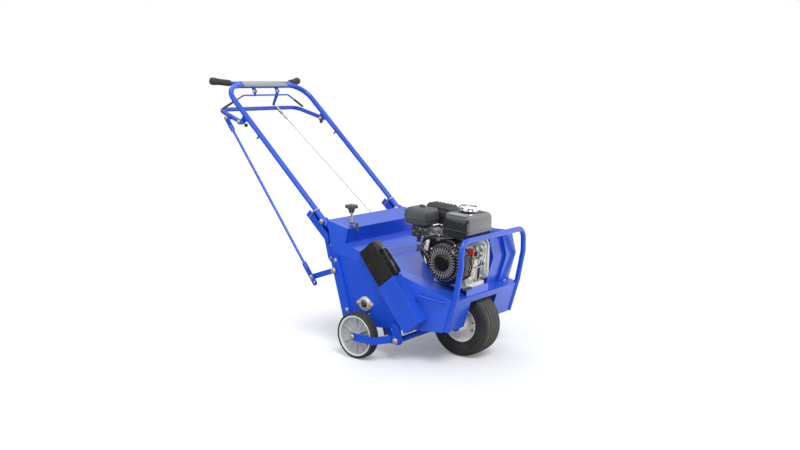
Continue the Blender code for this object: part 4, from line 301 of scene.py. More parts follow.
def lathe(profile, origin, axis, steps=64):
    """A profile of (radius, distance along the axis) turned about an axis. It may start and end on the axis."""
    origin, axis = Vector(origin), Vector(axis).normalized()
    u = axis.orthogonal().normalized()
    v = axis.cross(u)
    bm = bmesh.new()
    rings = []
    for r, along in profile:
        centre = origin + axis * along
        if r < SAME_POINT:
            rings.append([bm.verts.new(centre)])
            continue
        rings.append([bm.verts.new(centre + (u * cos(a) + v * sin(a)) * r) for a in turns(steps)])
    for low, high in zip(rings, rings[1:]):
        for k in range(steps):
            quad = [low[k % len(low)], low[(k + 1) % len(low)], high[(k + 1) % len(high)], high[k % len(high)]]
            corners = list(dict.fromkeys(quad))
            if len(corners) > 2:
                bm.faces.new(corners)
    return outward(bm)


def outward(bm):
    bmesh.ops.recalc_face_normals(bm, faces=bm.faces)
    return bm


def welded(bm):
    bmesh.ops.remove_doubles(bm, verts=bm.verts, dist=SAME_POINT)
    return outward(bm)


def ring(profile, origin, axis, steps=64):
    """A closed profile turned about an axis."""
    return welded(lathe(list(profile) + [profile[0]], origin, axis, steps))


def block(low, high, bevel):
    """A box with rounded edges."""
    bm = bmesh.new()
    bmesh.ops.create_cube(bm, size=1)
    low, high = Vector(low), Vector(high)
    for vert in bm.verts:
        vert.co = [low[i] + (vert.co[i] + 0.5) * (high[i] - low[i]) for i in range(3)]
    bmesh.ops.bevel(bm, geom=bm.edges[:], offset=bevel, segments=3, profile=0.5, affect="EDGES", clamp_overlap=True)
    return bm


def plate(outline, x0, x1, edge=0.6, holes=(), flat=False):
    """A flat outline of y, z points made thick from x0 to x1, its rims rounded.

    A flat one has an outline of x, y points, and is thick from z x0 to x1.
    """
    curve = bpy.data.curves.new("outline", "CURVE")
    curve.dimensions = "2D"
    curve.fill_mode = "BOTH"
    half = abs(x1 - x0) / 2
    edge = min(edge, half * 0.8)
    curve.extrude = half - edge
    curve.bevel_depth = edge
    curve.bevel_resolution = 1
    curve.offset = -edge
    for points in (outline, *holes):
        spline = curve.splines.new("POLY")
        spline.points.add(len(points) - 1)
        for point, (y, z) in zip(spline.points, points):
            point.co = (y, z, 0, 1)
        spline.use_cyclic_u = True
    holder = placed("outline", curve)
    bm = bmesh.new()
    bm.from_mesh(evaluated(holder))
    bpy.data.objects.remove(holder)
    turn = Matrix.Identity(4) if flat else Matrix(((0, 0, 1, 0), (1, 0, 0, 0), (0, 1, 0, 0), (0, 0, 0, 1)))
    bm.transform(Matrix.Translation(Vector(Z_AXIS if flat else X_AXIS) * (x0 + x1) / 2) @ turn)
    return welded(bm)


def hull(*circles, sides=48):
    """The outline drawn tight round circles, each a y, z and radius."""
    points = sorted(polar(y, z, r, a) for y, z, r in circles for a in turns(sides))

    def chain(ordered):
        kept = []
        for p in ordered:
            while len(kept) > 1:
                a, b = kept[-2:]
                if (b[0] - a[0]) * (p[1] - a[1]) - (b[1] - a[1]) * (p[0] - a[0]) > SAME_POINT:
                    break
                kept.pop()
            kept.append(p)
        return kept[:-1]

    return chain(points) + chain(points[::-1])


def bar(start, end, width):
    return hull((*start, width / 2), (*end, width / 2))


def bolt(at, axis, size, tall=0.55):
    """A hexagon head of that radius on its washer, with a domed top."""
    at, axis = Vector(at), Vector(axis).normalized()
    washer = [(0, 0), (1.35, 0), (1.35, 0.16), (1.25, 0.22), (0, 0.22)]
    low = size * 0.2
    top = low + size * tall
    dome = low + size * tall * 1.12
    return merged(lathe([(r * size, d * size) for r, d in washer], at, axis, 24),
        sweep([at + axis * d for d in (low, low + size * tall * 0.82, top)], size, 6, [size, size, size * 0.86]),
        lathe([(size * 0.62, top), (size * 0.5, dome), (0, dome)], at, axis, 18))


def nut(at, axis, size, stud=0.5):
    """A hexagon nut with the end of its bolt standing out."""
    at, axis = Vector(at), Vector(axis).normalized()
    top = at + axis * size * 0.9
    return merged(bolt(at, axis, size, tall=0.8), pin(top, top + axis * size * stud, size * 0.5, 16, size * 0.08))


def merged(*bms):
    whole = bmesh.new()
    for bm in bms:
        mesh = mesh_from(bm, "part")
        whole.from_mesh(mesh)
        bpy.data.meshes.remove(mesh)
    return whole


def mesh_from(bm, name):
    mesh = bpy.data.meshes.new(name)
    bm.to_mesh(mesh)
    bm.free()
    return mesh


def placed(name, data):
    obj = bpy.data.objects.new(name, data)
    bpy.context.scene.collection.objects.link(obj)
    return obj


def evaluated(obj):
    """The mesh that an object's modifiers or curve give."""
    bpy.context.view_layer.update()
    return bpy.data.meshes.new_from_object(obj.evaluated_get(bpy.context.evaluated_depsgraph_get()))


def solid(name, bm, matrix, mat=None):
    """An object of this shape, brought into the frame."""
    bm.transform(matrix)
    obj = placed(name, mesh_from(bm, name))
    if mat:
        obj.data.materials.append(mat)
        obj.data.shade_smooth()
    return obj


def piece(name, mat, *bms, body="chassis", slot=None, replaces=None, sharp=SHARP, at=MACHINE):
    """One named object made of these shapes, riding a body."""
    obj = solid(name, merged(*bms), at, mat)
    obj.data.set_sharp_from_angle(angle=sharp)
    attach(obj, body)
    if replaces:
        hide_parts(replaces)
    return obj


engine_piece = partial(piece, at=ENGINE)


def cut_with(obj, bm, matrix):
    """Cuts a closed shape out of a piece, and keeps the result as its mesh."""
    cutter = solid("cutter", bm, matrix)
    step = obj.modifiers.new("cut", "BOOLEAN")
    step.operation = "DIFFERENCE"
    step.solver = "EXACT"
    step.object = cutter
    mesh = evaluated(obj)
    obj.modifiers.clear()
    obj.data = mesh
    bpy.data.objects.remove(cutter)
    mesh.shade_smooth()
    mesh.set_sharp_from_angle(angle=SHARP)


def dress(node, mat, edge):
    """Gives a CAD solid its material and rounds its sharp edges."""
    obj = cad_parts[node]
    mesh = obj.data
    mesh.materials.clear()
    mesh.materials.append(mat)
    if "custom_normal" in mesh.attributes:
        mesh.attributes.remove(mesh.attributes["custom_normal"])
    obj.modifiers.new("welded", "WELD").merge_threshold = 0.02 * MM
    step = obj.modifiers.new("rounded_edges", "BEVEL")
    step.width = edge * MM
    step.segments = 2
    step.limit_method = "ANGLE"
    step.angle_limit = radians(40)
    step.harden_normals = True
    mesh.shade_smooth()


# Places shared by several pieces, in machine coordinates

NOSE_LEAN = radians(16.7)
NOSE_LENGTH = 138 / cos(NOSE_LEAN)
BIN_ANGLE = radians(50.9)
HANDLE_ANGLE = radians(42.5)
HANDLE_PIVOT = (262, 568)
HANDLE_LENGTH = 889
HANDLE_FOOT = -28
DECK_SLOPE = radians(14.7)
BAIL = (905, 1140)
BAIL_ARM_END = (935, 1072)
BAIL_BEND = (155, BAIL[0], BAIL[1] - 19)
BAIL_TIP = (280, 920, 1058)
LIFT_PIVOT = (784, 999)
LIFT_PIN = (863, 1016)
LEVER = (180, 355)
LEVER_PIN = (309, 309)
PIVOT = (-180, 98)
REEL = (12, 226)
FRONT_AXLE = (-329, 145)
REAR_AXLE = (0, 101.5)
WHEEL_X = 348
HANDLE_X = 272
LIFT_X = 291
GUARD_X = 246
CAP_AT = (-78, -20, 0)  # in engine coordinates
WELD = 2.2
SIDES = (("right", -1), ("left", 1))


def deck_z(y):
    return 298 + tan(DECK_SLOPE) * (y + 435)


def nose_point(drop, out=0):
    return (-435 + drop * sin(NOSE_LEAN) - out * cos(NOSE_LEAN), 298 - drop * cos(NOSE_LEAN) - out * sin(NOSE_LEAN))


def along_bin(s, v=0):
    u = (-cos(BIN_ANGLE), -sin(BIN_ANGLE))
    w = (-sin(BIN_ANGLE), cos(BIN_ANGLE))
    return (32 + s * u[0] + v * w[0], 451 + s * u[1] + v * w[1])


def tube_point(along, off=0):
    c, s = cos(HANDLE_ANGLE), sin(HANDLE_ANGLE)
    return (HANDLE_PIVOT[0] + along * c + off * s, HANDLE_PIVOT[1] + along * s - off * c)


def xs(side, near, far):
    return (min(side * near, side * far), max(side * near, side * far))


def both_ways(*points):
    """A line from the right end of a symmetric bar to its left end, through these points of the left half."""
    return [(-x, y, z) for x, y, z in points[::-1]] + list(points)


# Sheet body: the CAD solids with paint and rolled edges

for node in ("deck_housing", "front_panel", "side_plate_right", "side_plate_left", "weight_bin_right",
        "weight_bin_left", "belt_guard", "handle_mount_right", "handle_mount_left", "wheel_fork"):
    dress(node, BLUE, 1)
dress("rear_cover", BLUE, 1.2)
for node in ("wheel_frame", "lift_lever", "drop_link", "idler_arm"):
    dress(node, BLUE, 0.7)
for node, mat in (("crank_pulley", STEEL), ("jackshaft", STEEL), ("idler_pulley", STEEL), ("drive_belt", BELT),
        ("drive_chain", STEEL), ("reel_shaft", STEEL), ("engine_block", CAST), ("carburettor", POT_METAL)):
    dress(node, mat, 0.6)


def guard():
    low, bend = nose_point(NOSE_LENGTH - 4), nose_point(-16)
    path = both_ways((244, -465, 546), (GUARD_X, -465, 446), (GUARD_X, *bend), (GUARD_X, *low))
    piece("guard_hoop", BLUE, sweep(rounded(path, 45, 6), 12, sides=28), replaces="front_guard")
    beads = [sweep([(side * 233.8, *nose_point(drop + rise, -4)) for rise in (18, 0)], WELD, sides=10)
        for side in (-1, 1) for drop in (12, 118)]
    piece("guard_welds", BLUE, *beads)


guard()

for name, side in SIDES:
    outer, inner = side * 266, side * 248
    path = rounded([(inner, -251, 301), (outer, -262, 300), (outer, -384, 290), (inner, -395, 289)], 12)
    piece("tie_loop_" + name, BLUE, sweep(path, 5.4))


def side_weight(name, side):
    """Cast slab in its bin, with a bent strap to lift it by."""
    near, far = 254.8, 305.5
    v0, v1 = 4.5, 100.5
    low = 402.7
    outline = [along_bin(0, v0), along_bin(low, v0), along_bin(low, v1), along_bin(0, v1)]
    body = plate(outline, *xs(side, near, far), edge=1.6)
    middle = side * (near + far) / 2
    outer = rounded([(46, v1 - 4), (46, v1 + 24), (175, v1 + 24), (175, v1 - 4)], 10)
    inner = rounded([(55, v1 - 4), (55, v1 + 15), (166, v1 + 15), (166, v1 - 4)], 5)
    strap = plate([along_bin(*p) for p in outer + inner[::-1]], middle - 16, middle + 16, edge=2.6)
    piece("weight_slab_" + name, WEIGHT, body, body="side_weight_" + name, replaces="side_weight_" + name)
    piece("weight_strap_" + name, TANK, strap, body="side_weight_" + name, slot="cast_iron")


for name, side in SIDES:
    side_weight(name, side)


def star_knob():
    """Lobed clamp knob on its threaded rod."""
    x, y = -222, 142
    levels = [(0, 0.8), (1.5, 0.93), (5, 1), (12, 1), (15.5, 0.93), (17, 0.8)]
    lobes = skin([[(*polar(x, y, 24.9 * (1 + 0.2 * cos(6 * a)) * share, a), 630 + lift) for a in turns(96)]
        for lift, share in levels])
    boss = lathe([(0, 612), (11.5, 612), (12.5, 614), (16.5, 631), (16.5, 633), (0, 633)], (x, y, 0), Z_AXIS)
    cup = lathe([(13, 646.8), (12, 648.5), (9, 648), (0, 647.8)], (x, y, 0), Z_AXIS)
    piece("knob_lobes", PLASTIC, lobes, boss, cup, body="star_knob", replaces="star_knob")
    foot = deck_z(y + 5) + 0.6
    rod = pin((x, y, foot), (x, y, 615), 4.9, chamfer=0.6)
    threads = [lathe([(4.7, 0), (5.3, 0.6), (4.7, 1.2)], (x, y, 560 + 1.7 * k), Z_AXIS, steps=24) for k in range(16)]
    piece("knob_rod", ZINC, rod, *threads, nut((x, y, 605), Z_AXIS, 8.5, stud=0), body="star_knob")
    # Open hook that the rod swings out of, at the cover's edge
    z = 563.5
    fork = [(x - 13, y - 34), (x + 2, y - 34), (x + 4, y - 14), (x + 11, y - 8), (x + 11, y + 8), (x + 6.6, y + 9),
        (x + 6.3, y - 6), (x - 6.3, y - 6), (x - 6.6, y + 9), (x - 12, y + 8)]
    leaf = [(y - 34, z + 4), (y - 38, z + 3), (y - 40, z - 34), (y - 36, z - 34), (y - 34.5, z)]
    piece("knob_hook", PLASTIC, plate(fork, z, z + 4, flat=True, edge=1), plate(leaf, x - 13, x + 2, edge=0.8))


star_knob()


def bearing(name, side):
    """Cast flange bearing of the tine reel, with its collar and two bolts."""
    x = side * 280.3
    y, z = REEL
    out = (side, 0, 0)
    flange = plate(hull((y, z, 33), (y - 37.5, z, 9.5), (y + 37.5, z, 9.5)), *xs(side, 280.3, 286.3), edge=1.5,
        holes=[circle(y, z, 13.5)])
    dome = ring([(29.5, 5.5), (27, 9.8), (22.5, 12.8), (18, 12.8), (18, 6)], (x, y, z), out)
    lugs = [lathe([(8.5, 6), (7.8, 7.8), (0, 7.8)], (x, y + s * 37.5, z), out, steps=28) for s in (-1, 1)]
    piece("bearing_flange_" + name, CAST, flange, dome, *lugs, replaces="reel_bearing_" + name)
    race = ring([(17.8, 6.2), (17.8, 10.5), (15, 11.2), (15, 6.5)], (x, y, z), out)
    piece("bearing_race_" + name, STEEL, race)
    collar = ring([(14.6, 9.5), (14.6, 13.5), (13.6, 14.2), (12.7, 14.2), (12.7, 9.5)], (x, y, z), out)
    piece("bearing_collar_" + name, STEEL, collar, body="tine_reel")
    bolts = [bolt((x + side * 7.6, y + s * 37.5, z), out, 6.2) for s in (-1, 1)]
    piece("bearing_bolts_" + name, ZINC, *bolts)
    end = lathe([(0, 15), (3.5, 15), (4.5, 16.2), (11, 16.2), (12.4, 15)], (x, y, z), out, steps=32)
    piece("shaft_end_" + name, STEEL, end, body="tine_reel")


for name, side in SIDES:
    bearing(name, side)


# Wheels


def front_wheel():
    half, seat = 62, 79.3
    origin, axis = (0, *FRONT_AXLE), X_AXIS
    tread, groove, depth = half - 8, 6.4, 5.6
    pitch = 2 * tread / 5

    def crown(x):
        return 144.9 - 3.5 * (x / tread) ** 2

    outer = [(seat, 46), (84, 50), (92, 56), (108, 60.8), (122, 61.2), (134, half - 4.2)]
    for k in range(5):
        right = tread - k * pitch - (groove / 2 if k else 0)
        left = tread - (k + 1) * pitch + (groove / 2 if k < 4 else 0)
        outer += [(crown(right) - 0.8, right), (crown(right), right - 1), (crown(left), left + 1), (crown(left) - 0.8,
            left)]
        if k < 4:
            outer += [(crown(left) - depth, left - 0.8), (crown(left) - depth, left - groove + 0.8)]
    outer += [(r, -x) for r, x in outer[:6][::-1]]
    inner = [(seat, -40), (seat, 40)]
    tyre = ring(outer + inner, origin, axis, steps=128)
    obj = piece("front_tyre_tread", TYRE, tyre, body="front_wheel", replaces="front_tyre")
    obj.data.materials.append(GROOVE)
    for face in obj.data.polygons:
        at = MACHINE.inverted() @ face.center
        r = hypot(at.y - FRONT_AXLE[0], at.z - FRONT_AXLE[1])
        if abs(at.x) < tread - 12 and r < crown(at.x) - 1.2:
            face.material_index = 1
    beads = [ring([(97.5, s * 58.4), (99.1, s * 59.2), (100.7, s * 58)], origin, axis, steps=96) for s in (-1, 1)]
    piece("front_tyre_rings", TYRE, *beads, body="front_wheel")
    rim = [(79, 46), (80, 49), (77.5, 50.5), (74.5, 48), (72, 40), (69, 16), (62, 8), (52, 4), (40, 5), (32, 10),
        (30, 60), (28, 62.5), (23.5, 62.5), (22, 79), (20.5, 79.5), (10.2, 79.5)]
    back = [(r, -x) for r, x in rim[:5][::-1]]
    rear_side = [(10.2, -79.5), (20.5, -79.5), (22, -79), (23.5, -62.5), (28, -62.5), (30, -60), (32, -6), (52, -2),
        (62, -6), (69, -16)]
    rim_ring = ring(rim + rear_side + back, origin, axis, steps=96)
    piece("front_rim_disc", GALVANISED, rim_ring, body="front_wheel", replaces="front_rim")
    studs = []
    for a in turns(4, 0.5):
        y, z = polar(*FRONT_AXLE, 46, a)
        studs.append(nut((4.2, y, z), X_AXIS, 6.5))
        studs.append(bolt((-2.8, y, z), (-1, 0, 0), 6.5))
    piece("front_rim_studs", ZINC, *studs, body="front_wheel")
    y, z = FRONT_AXLE[0] - 66, FRONT_AXLE[1] + 12
    valve = pin((-12, y, z), (-44, y + 4, z), 3.5, sides=14, chamfer=0.6)
    piece("front_valve", PLASTIC, valve, body="front_wheel")


front_wheel()


def rear_wheel(name, side):
    origin, axis = (side * WHEEL_X, *REAR_AXLE), (side, 0, 0)
    body = "rear_wheel_" + name
    tyre = mirrored([(88.8, 19), (90.5, 21.5), (95.5, 22), (98.5, 20.8), (100.5, 18), (101.4, 12)], (101.5, 0))
    piece("tread_" + name, TYRE, ring(tyre, origin, axis, steps=96), body=body, replaces="rear_tyre_" + name)
    ring_profile = mirrored([(88.6, 19), (88.8, 21.2), (86.8, 22.2), (83.5, 21.5), (82.2, 18)])
    piece("rim_ring_" + name, RING, ring(ring_profile, origin, axis, steps=96), body=body)
    web = mirrored([(82.4, 17.5), (80.5, 16), (78, 6), (74, 3.4), (24, 3.4), (19.5, 6), (18, 21.5), (16.5, 22.8),
        (7.2, 22.8)])
    bms = [ring(web, origin, axis, steps=96)]
    for face in (1, -1):
        for k, a in enumerate(turns(12, 1)):
            wide, deep = (0.9, 6.2) if k % 2 else (1.6, 12.5)
            c, s = cos(a), sin(a)
            outline = [(REAR_AXLE[0] + r * c - w * s, REAR_AXLE[1] + r * s + w * c) for r, w in ((17, -wide),
                (80, -wide), (80, wide), (17, wide))]
            bms.append(plate(outline, *xs(side, WHEEL_X + face * 3, WHEEL_X + face * deep), edge=0.5))
    piece("spokes_" + name, SPOKES, *bms, body=body, replaces="rear_wheel_" + name)
    washer = ring([(14, 22.9), (14, 24), (7, 24), (7, 22.9)], origin, axis, steps=32)
    piece("hub_washer_" + name, ZINC, washer, body="wheel_frame")


for name, side in SIDES:
    rear_wheel(name, side)

# Bolts of the transport frame, lever and side plates
frame_bolts = []
for side in (-1, 1):
    for x, at, size in ((385.6, REAR_AXLE, 9), (314.8, PIVOT, 10)):
        frame_bolts.append(bolt((side * x, *at), (side, 0, 0), size, tall=0.34))
piece("wheel_frame_bolts", ZINC, *frame_bolts, body="wheel_frame")
stub_sleeves = [pin((side * 317.5, *REAR_AXLE), (side * 324, *REAR_AXLE), 10) for side in (-1, 1)]
piece("stub_sleeves", BRIGHT, *stub_sleeves, body="wheel_frame")
piece("cross_shaft_sleeve", BLUE, pin((-240, *PIVOT), (240, *PIVOT), 12.4, chamfer=1), body="wheel_frame")
side_bolts = [bolt((side * 292.2, *at), (side, 0, 0), 6.8) for side in (-1, 1) for at in ((110.5, 185), (178, 400))]
piece("side_angle_bolts", ZINC, *side_bolts)


# Handle, lift linkage and clutch bail

TOP_BAR = tube_point(HANDLE_LENGTH)
GRIP_WELD = (TOP_BAR[0] + 18.92, TOP_BAR[1] + 10.105)
GRIP_BEND = 186
GRIP_TIP = (302, GRIP_WELD[0] + 40, GRIP_WELD[1] + 13)


def handle():
    path = both_ways((HANDLE_X, *tube_point(HANDLE_LENGTH)), (HANDLE_X, *tube_point(HANDLE_FOOT)))
    main = sweep(rounded(path, 100, 5), 12.7, sides=32)
    ends = [ring([(12.7, 0.2), (12.4, 1), (11.2, 1), (11, 0.2)], (side * HANDLE_X, *tube_point(HANDLE_FOOT)),
        (0, -cos(HANDLE_ANGLE), -sin(HANDLE_ANGLE)), steps=32) for side in (-1, 1)]
    piece("handle_tube", BLUE, main, *ends, body="handle", replaces="handle_frame")
    path = both_ways((GRIP_BEND, *GRIP_WELD), GRIP_TIP)
    piece("grip_bar", BLUE, sweep(rounded(path, 30, 5), 10.9, sides=28), body="handle")
    # Weld beads between the two bars, and a bare plate wrapped over them
    beads = [sweep([(x0, TOP_BAR[0] + 11.5, TOP_BAR[1] + s), (x1, TOP_BAR[0] + 11.5, TOP_BAR[1] + s)], WELD, sides=10)
        for x0, x1 in ((-GRIP_BEND, -158), (158, GRIP_BEND)) for s in (13.5, -3.5)]
    piece("bar_welds", BLUE, *beads, body="handle")
    a, b = Vector(TOP_BAR), Vector(GRIP_WELD)
    across = (b - a).normalized()
    up = Vector((-across.y, across.x))
    line = []
    for middle, radius, first, turn in ((a, 13.6, 168, 78), (b, 12.2, 90, 100)):
        for angle in [radians(first - turn * k / 8) for k in range(9)]:
            line.append(middle + (across * cos(angle) + up * sin(angle)) * radius)
    under = [p - (p - (a if k < 9 else b)).normalized() * 0.7 for k, p in enumerate(line)]
    wrap = plate([tuple(p) for p in line + under[::-1]], -152, 152, edge=0.2)
    piece("bar_plate", PLATE, wrap, body="handle")
    ears, pins, stops, tabs, bolts = [], [], [], [], []
    back, rise = LIFT_PIVOT[0] - HANDLE_PIVOT[0], LIFT_PIVOT[1] - HANDLE_PIVOT[1]
    along = back * cos(HANDLE_ANGLE) + rise * sin(HANDLE_ANGLE)
    inner = LIFT_X - 14
    ear = hull((*tube_point(along - 12), 9), (*tube_point(along + 12), 9), (*LIFT_PIVOT, 13))
    stop = [(0, 0), (6.5, 0), (8.2, 2), (8.4, 9), (7, 12), (0, 12)]
    away = Vector((0, sin(HANDLE_ANGLE), -cos(HANDLE_ANGLE))) * 17
    tab = hull((TOP_BAR[0] + 1, TOP_BAR[1] - 3, 8), (*BAIL, 8.5))
    for side in (-1, 1):
        out = (side, 0, 0)
        ears.append(plate(ear, *xs(side, inner - 5, inner)))
        pins.append(pin((side * (inner - 3), *LIFT_PIVOT), (side * 302.5, *LIFT_PIVOT), 5))
        pins.append(bolt((side * 302.3, *LIFT_PIVOT), out, 7.8))
        pins.append(nut((side * (inner - 4.9), *LIFT_PIVOT), (-side, 0, 0), 7.5))
        stops.append(lathe(stop, (side * (inner - 17.5), LIFT_PIVOT[0] - 12, LIFT_PIVOT[1] - 17.5), out, steps=28))
        foot = Vector((side * HANDLE_X, *tube_point(553, 12.5)))
        stops.append(pin(foot, foot + away, 4.2, sides=18, chamfer=1))
        tabs += [plate(tab, *xs(side, x, x + 3)) for x in (74, 81.6)]
        bolts.append(pin((side * 70, *BAIL), (side * 88, *BAIL), 3.5, sides=18))
        bolts.append(bolt((side * 73.8, *BAIL), (-side, 0, 0), 7.4))
        bolts.append(nut((side * 84.8, *BAIL), out, 6.8, stud=0.3))
    piece("lift_ears", BLUE, *ears, body="handle")
    piece("lift_pivot_bolts", ZINC, *pins, body="handle")
    piece("rubber_stops", RUBBER, *stops, body="handle")
    piece("bail_brackets", BLUE, *tabs, body="handle")
    piece("bail_bolts", ZINC, *bolts, body="handle")


handle()


def grips():
    for name, side in SIDES:
        base = Vector((side * GRIP_BEND, *GRIP_WELD))
        tip = Vector((side * GRIP_TIP[0], *GRIP_TIP[1:]))
        along = (tip - base).normalized()
        profile = [(11.4, 23.8), (14.5, 23.8), (15.5, 25.5)]
        d = 30
        while d < 104:
            swell = 15.5 + 3 * max(0, (d - 80) / 28)
            profile += [(swell, d), (swell, d + 3.2), (swell - 0.6, d + 3.8), (swell - 0.6, d + 4.6)]
            d += 5.2
        profile += [(18.4, 108), (18.7, 115), (18, 122), (15, 127), (9.5, 129.5), (0, 130)]
        sleeve = lathe(profile, base, along, steps=56)
        piece("rubber_grip_" + name, RUBBER, sleeve, body="handle", replaces="grip_" + name)


grips()


def mounts():
    """Fold bolts, snap rings and foot bolts of the handle channels."""
    for name, side in SIDES:
        bolts = []
        for face, x in ((side, 291.6), (-side, 252.8)):
            bolts.append(bolt((side * x, *HANDLE_PIVOT), (face, 0, 0), 8.6, tall=0.5))
        for y, z in ((186, 392), (214, 402)):
            bolts.append(bolt((side * 280.2, y, z), (side, 0, 0), 6.2))
        piece("mount_bolts_" + name, ZINC, *bolts)
        # Wire ring that holds the tube in its channel
        wide, high = 21.5, 28
        path = []
        for a in turns(48):
            u = copysign(abs(cos(a)) ** 0.6, cos(a)) * wide
            v = copysign(abs(sin(a)) ** 0.6, sin(a)) * high
            at = tube_point(62 + 0.1 * u, 16.5 + v)
            path.append((side * HANDLE_X + u, *at))
        loop = sweep(path, 2.1, sides=12, closed=True)
        piece("snap_ring_" + name, ZINC, loop)


mounts()


def lift():
    path = both_ways((268, 957, 1052), (LIFT_X, *LIFT_PIVOT))
    tube = sweep(rounded(path, 45, 5), 10.4, sides=28)
    eyes = [ring([(13, -9.5), (13.5, -8.5), (13.5, 8.5), (13, 9.5), (5.6, 9.5), (5.6, -9.5)], (side * LIFT_X,
        *LIFT_PIVOT), X_AXIS, steps=40) for side in (-1, 1)]
    lug = plate(hull((*LIFT_PIN, 9), (LIFT_PIN[0] + 4, 1024, 9)), -294.5, -277)
    piece("lift_bar", BLUE, tube, *eyes, lug, body="lift_handle", replaces="lift_handle")
    head = [pin((-280, *LIFT_PIN), (-313.5, *LIFT_PIN), 4), bolt((-312.4, *LIFT_PIN), (-1, 0, 0), 7.8)]
    piece("rod_upper_bolt", ZINC, *head, body="lift_handle")
    top, low = Vector(LIFT_PIN), Vector(LEVER_PIN)
    d = (low - top).normalized()
    slot_end = low + d * 2.85 - Vector((-d.y, d.x)) * 3.2
    rod = pin((-308.5, *(top + d * 45)), (-308.5, *(low - d * 45)), 6.4, chamfer=1)
    straps = [plate(bar(top, top + d * 70, 24.8), -311.5, -305.5, holes=[circle(*top, 4.5)]),
        plate(bar(low - d * 70, low + d * 32, 24.8), -311.5, -305.5, holes=[hull((*low, 5.7), (*slot_end, 5.7),
        sides=32), circle(*(low + d * 26), 5)])]
    piece("lift_rod_bar", BLUE, rod, *straps, body="lift_rod", replaces="lift_rod")
    ends = [bolt((-312, *LEVER_PIN), (-1, 0, 0), 8.4, tall=0.4), bolt((-304.4, *LEVER), (-1, 0, 0), 10.5, tall=0.42)]
    piece("lever_bolts", ZINC, *ends, body="lift_lever")


lift()


def bail():
    low = BAIL_BEND[1:]
    wire = sweep(rounded(both_ways(BAIL_BEND, BAIL_TIP), 18, 6), 4)
    tabs = []
    for side in (-1, 1):
        arm = [(*BAIL_ARM_END, 7)] if side > 0 else []
        tabs.append(plate(hull((*BAIL, 8.5), (*low, 6), *arm), *xs(side, 77.8, 80.8), holes=[circle(*BAIL, 4, 20)]))
    piece("bail_wire", BLUE, wire, *tabs, body="clutch_bail", replaces="clutch_bail")
    sleeves = []
    for side in (-1, 1):
        start, end = Vector((side * BAIL_BEND[0], *low)), Vector((side * BAIL_TIP[0], *BAIL_TIP[1:]))
        away = (end - start).normalized()
        sleeves.append(pin(start.lerp(end, 0.42), end + away * 2, 5.5, chamfer=1.2))
    piece("bail_sleeves", SLEEVE, *sleeves, body="clutch_bail")
    hook = pin((78.8, *BAIL_ARM_END), (87.8, *BAIL_ARM_END), 2, chamfer=0.4)
    head = lathe([(0, 0), (4.2, 0), (4, 1.4), (2, 2), (0, 2)], (87.6, *BAIL_ARM_END), X_AXIS, steps=20)
    piece("spring_pin", ZINC, hook, head, body="clutch_bail")


bail()

CABLE_HIGH = Vector((83.5, *BAIL_ARM_END))
CABLE_LOW = Vector((60, *HANDLE_PIVOT))
RUN = (CABLE_HIGH - CABLE_LOW).normalized()
EYE_R = 6.6
EYE = CABLE_HIGH - RUN * (EYE_R - 1.1 - 2 - 0.6)
SPRING_LENGTH = 62


def spring():
    """Close-wound tension spring, with a hook at its upper end, and the cable's screw adjuster."""
    down = -RUN
    side = down.cross(Vector(X_AXIS)).normalized()
    cross = down.cross(side).normalized()
    path = []
    for k in range(22):
        a = radians(60 + 275 * k / 21)
        path.append(EYE + (side * sin(a) + down * cos(a)) * EYE_R)
    start = EYE + down * (EYE_R + 10)
    curls, per = 22, 20
    total = curls * per
    for k in range(total + 1):
        a = 2 * pi * k / per
        ease = min(1, k / per, (total - k) / per)
        path.append(start + down * SPRING_LENGTH * k / total + (side * cos(a) + cross * sin(a)) * 5.5 * ease)
    path.append(start + down * (SPRING_LENGTH + 7))
    piece("tension_spring", BRIGHT, sweep(path, 1.1, sides=10), body="clutch_wire", replaces="clutch_spring")
    top = EYE + down * (EYE_R + 10 + SPRING_LENGTH + 6.3)
    profile = [(0, 0), (3.4, 0), (4.2, 1)]
    d = 2
    while d < 22:
        profile += [(4.2, d), (4.7, d + 0.5), (4.2, d + 1)]
        d += 1.2
    profile += [(4.6, 23.5), (4.6, 32), (3, 34), (0, 34)]
    nuts = [sweep([top + down * a, top + down * b], 6.8, sides=6) for a, b in ((11.5, 16), (17.2, 20.2))]
    piece("cable_adjuster", ZINC, lathe(profile, top, down, steps=28), *nuts, body="clutch_wire")
    return top


ADJUSTER_TOP = spring()


def cable():
    """Wire rope from the adjuster down to its housing, twisted as it is laid."""
    first = ADJUSTER_TOP - RUN * 30
    last = CABLE_LOW - RUN * 1
    steps = 420
    side = RUN.orthogonal().normalized()
    cross = RUN.cross(side)
    strands = []
    for s in range(3):
        path = []
        for k in range(steps + 1):
            t = k / steps
            a = 2 * pi * (s / 3 + t * 60)
            path.append(first.lerp(last, t) + (side * cos(a) + cross * sin(a)) * 0.55)
        strands.append(sweep(path, 0.75, sides=6))
    obj = solid("wire_rope", merged(*strands), MACHINE, WIRE)
    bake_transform(obj)
    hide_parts("clutch_cable")


cable()


def conduit():
    start = CABLE_LOW - RUN * 1.8
    entry = start - RUN * 90
    path = rounded([start, entry, (85, 120, deck_z(120) + 14), (108, 70, deck_z(70) + 14),
        (108, -75, deck_z(-75) + 14), (108, -115, deck_z(-115) + 40), (108, -140, 466)], 30)
    piece("cable_housing", SLEEVE, sweep(path, 3.2, sides=20), replaces="clutch_conduit")
    cap = lathe([(3.4, -0.6), (4.2, 0), (4.4, 10), (3.6, 12), (3, 12)], start, -RUN, steps=24)
    piece("housing_cap", ZINC, cap)
    grommet = ring([(4, -4), (7.5, -3), (8, 0.5), (6.2, 3), (4, 3.5)], CABLE_LOW - RUN * 15, RUN, steps=28)
    piece("cable_grommet", RUBBER, grommet)


conduit()


# Tine reel


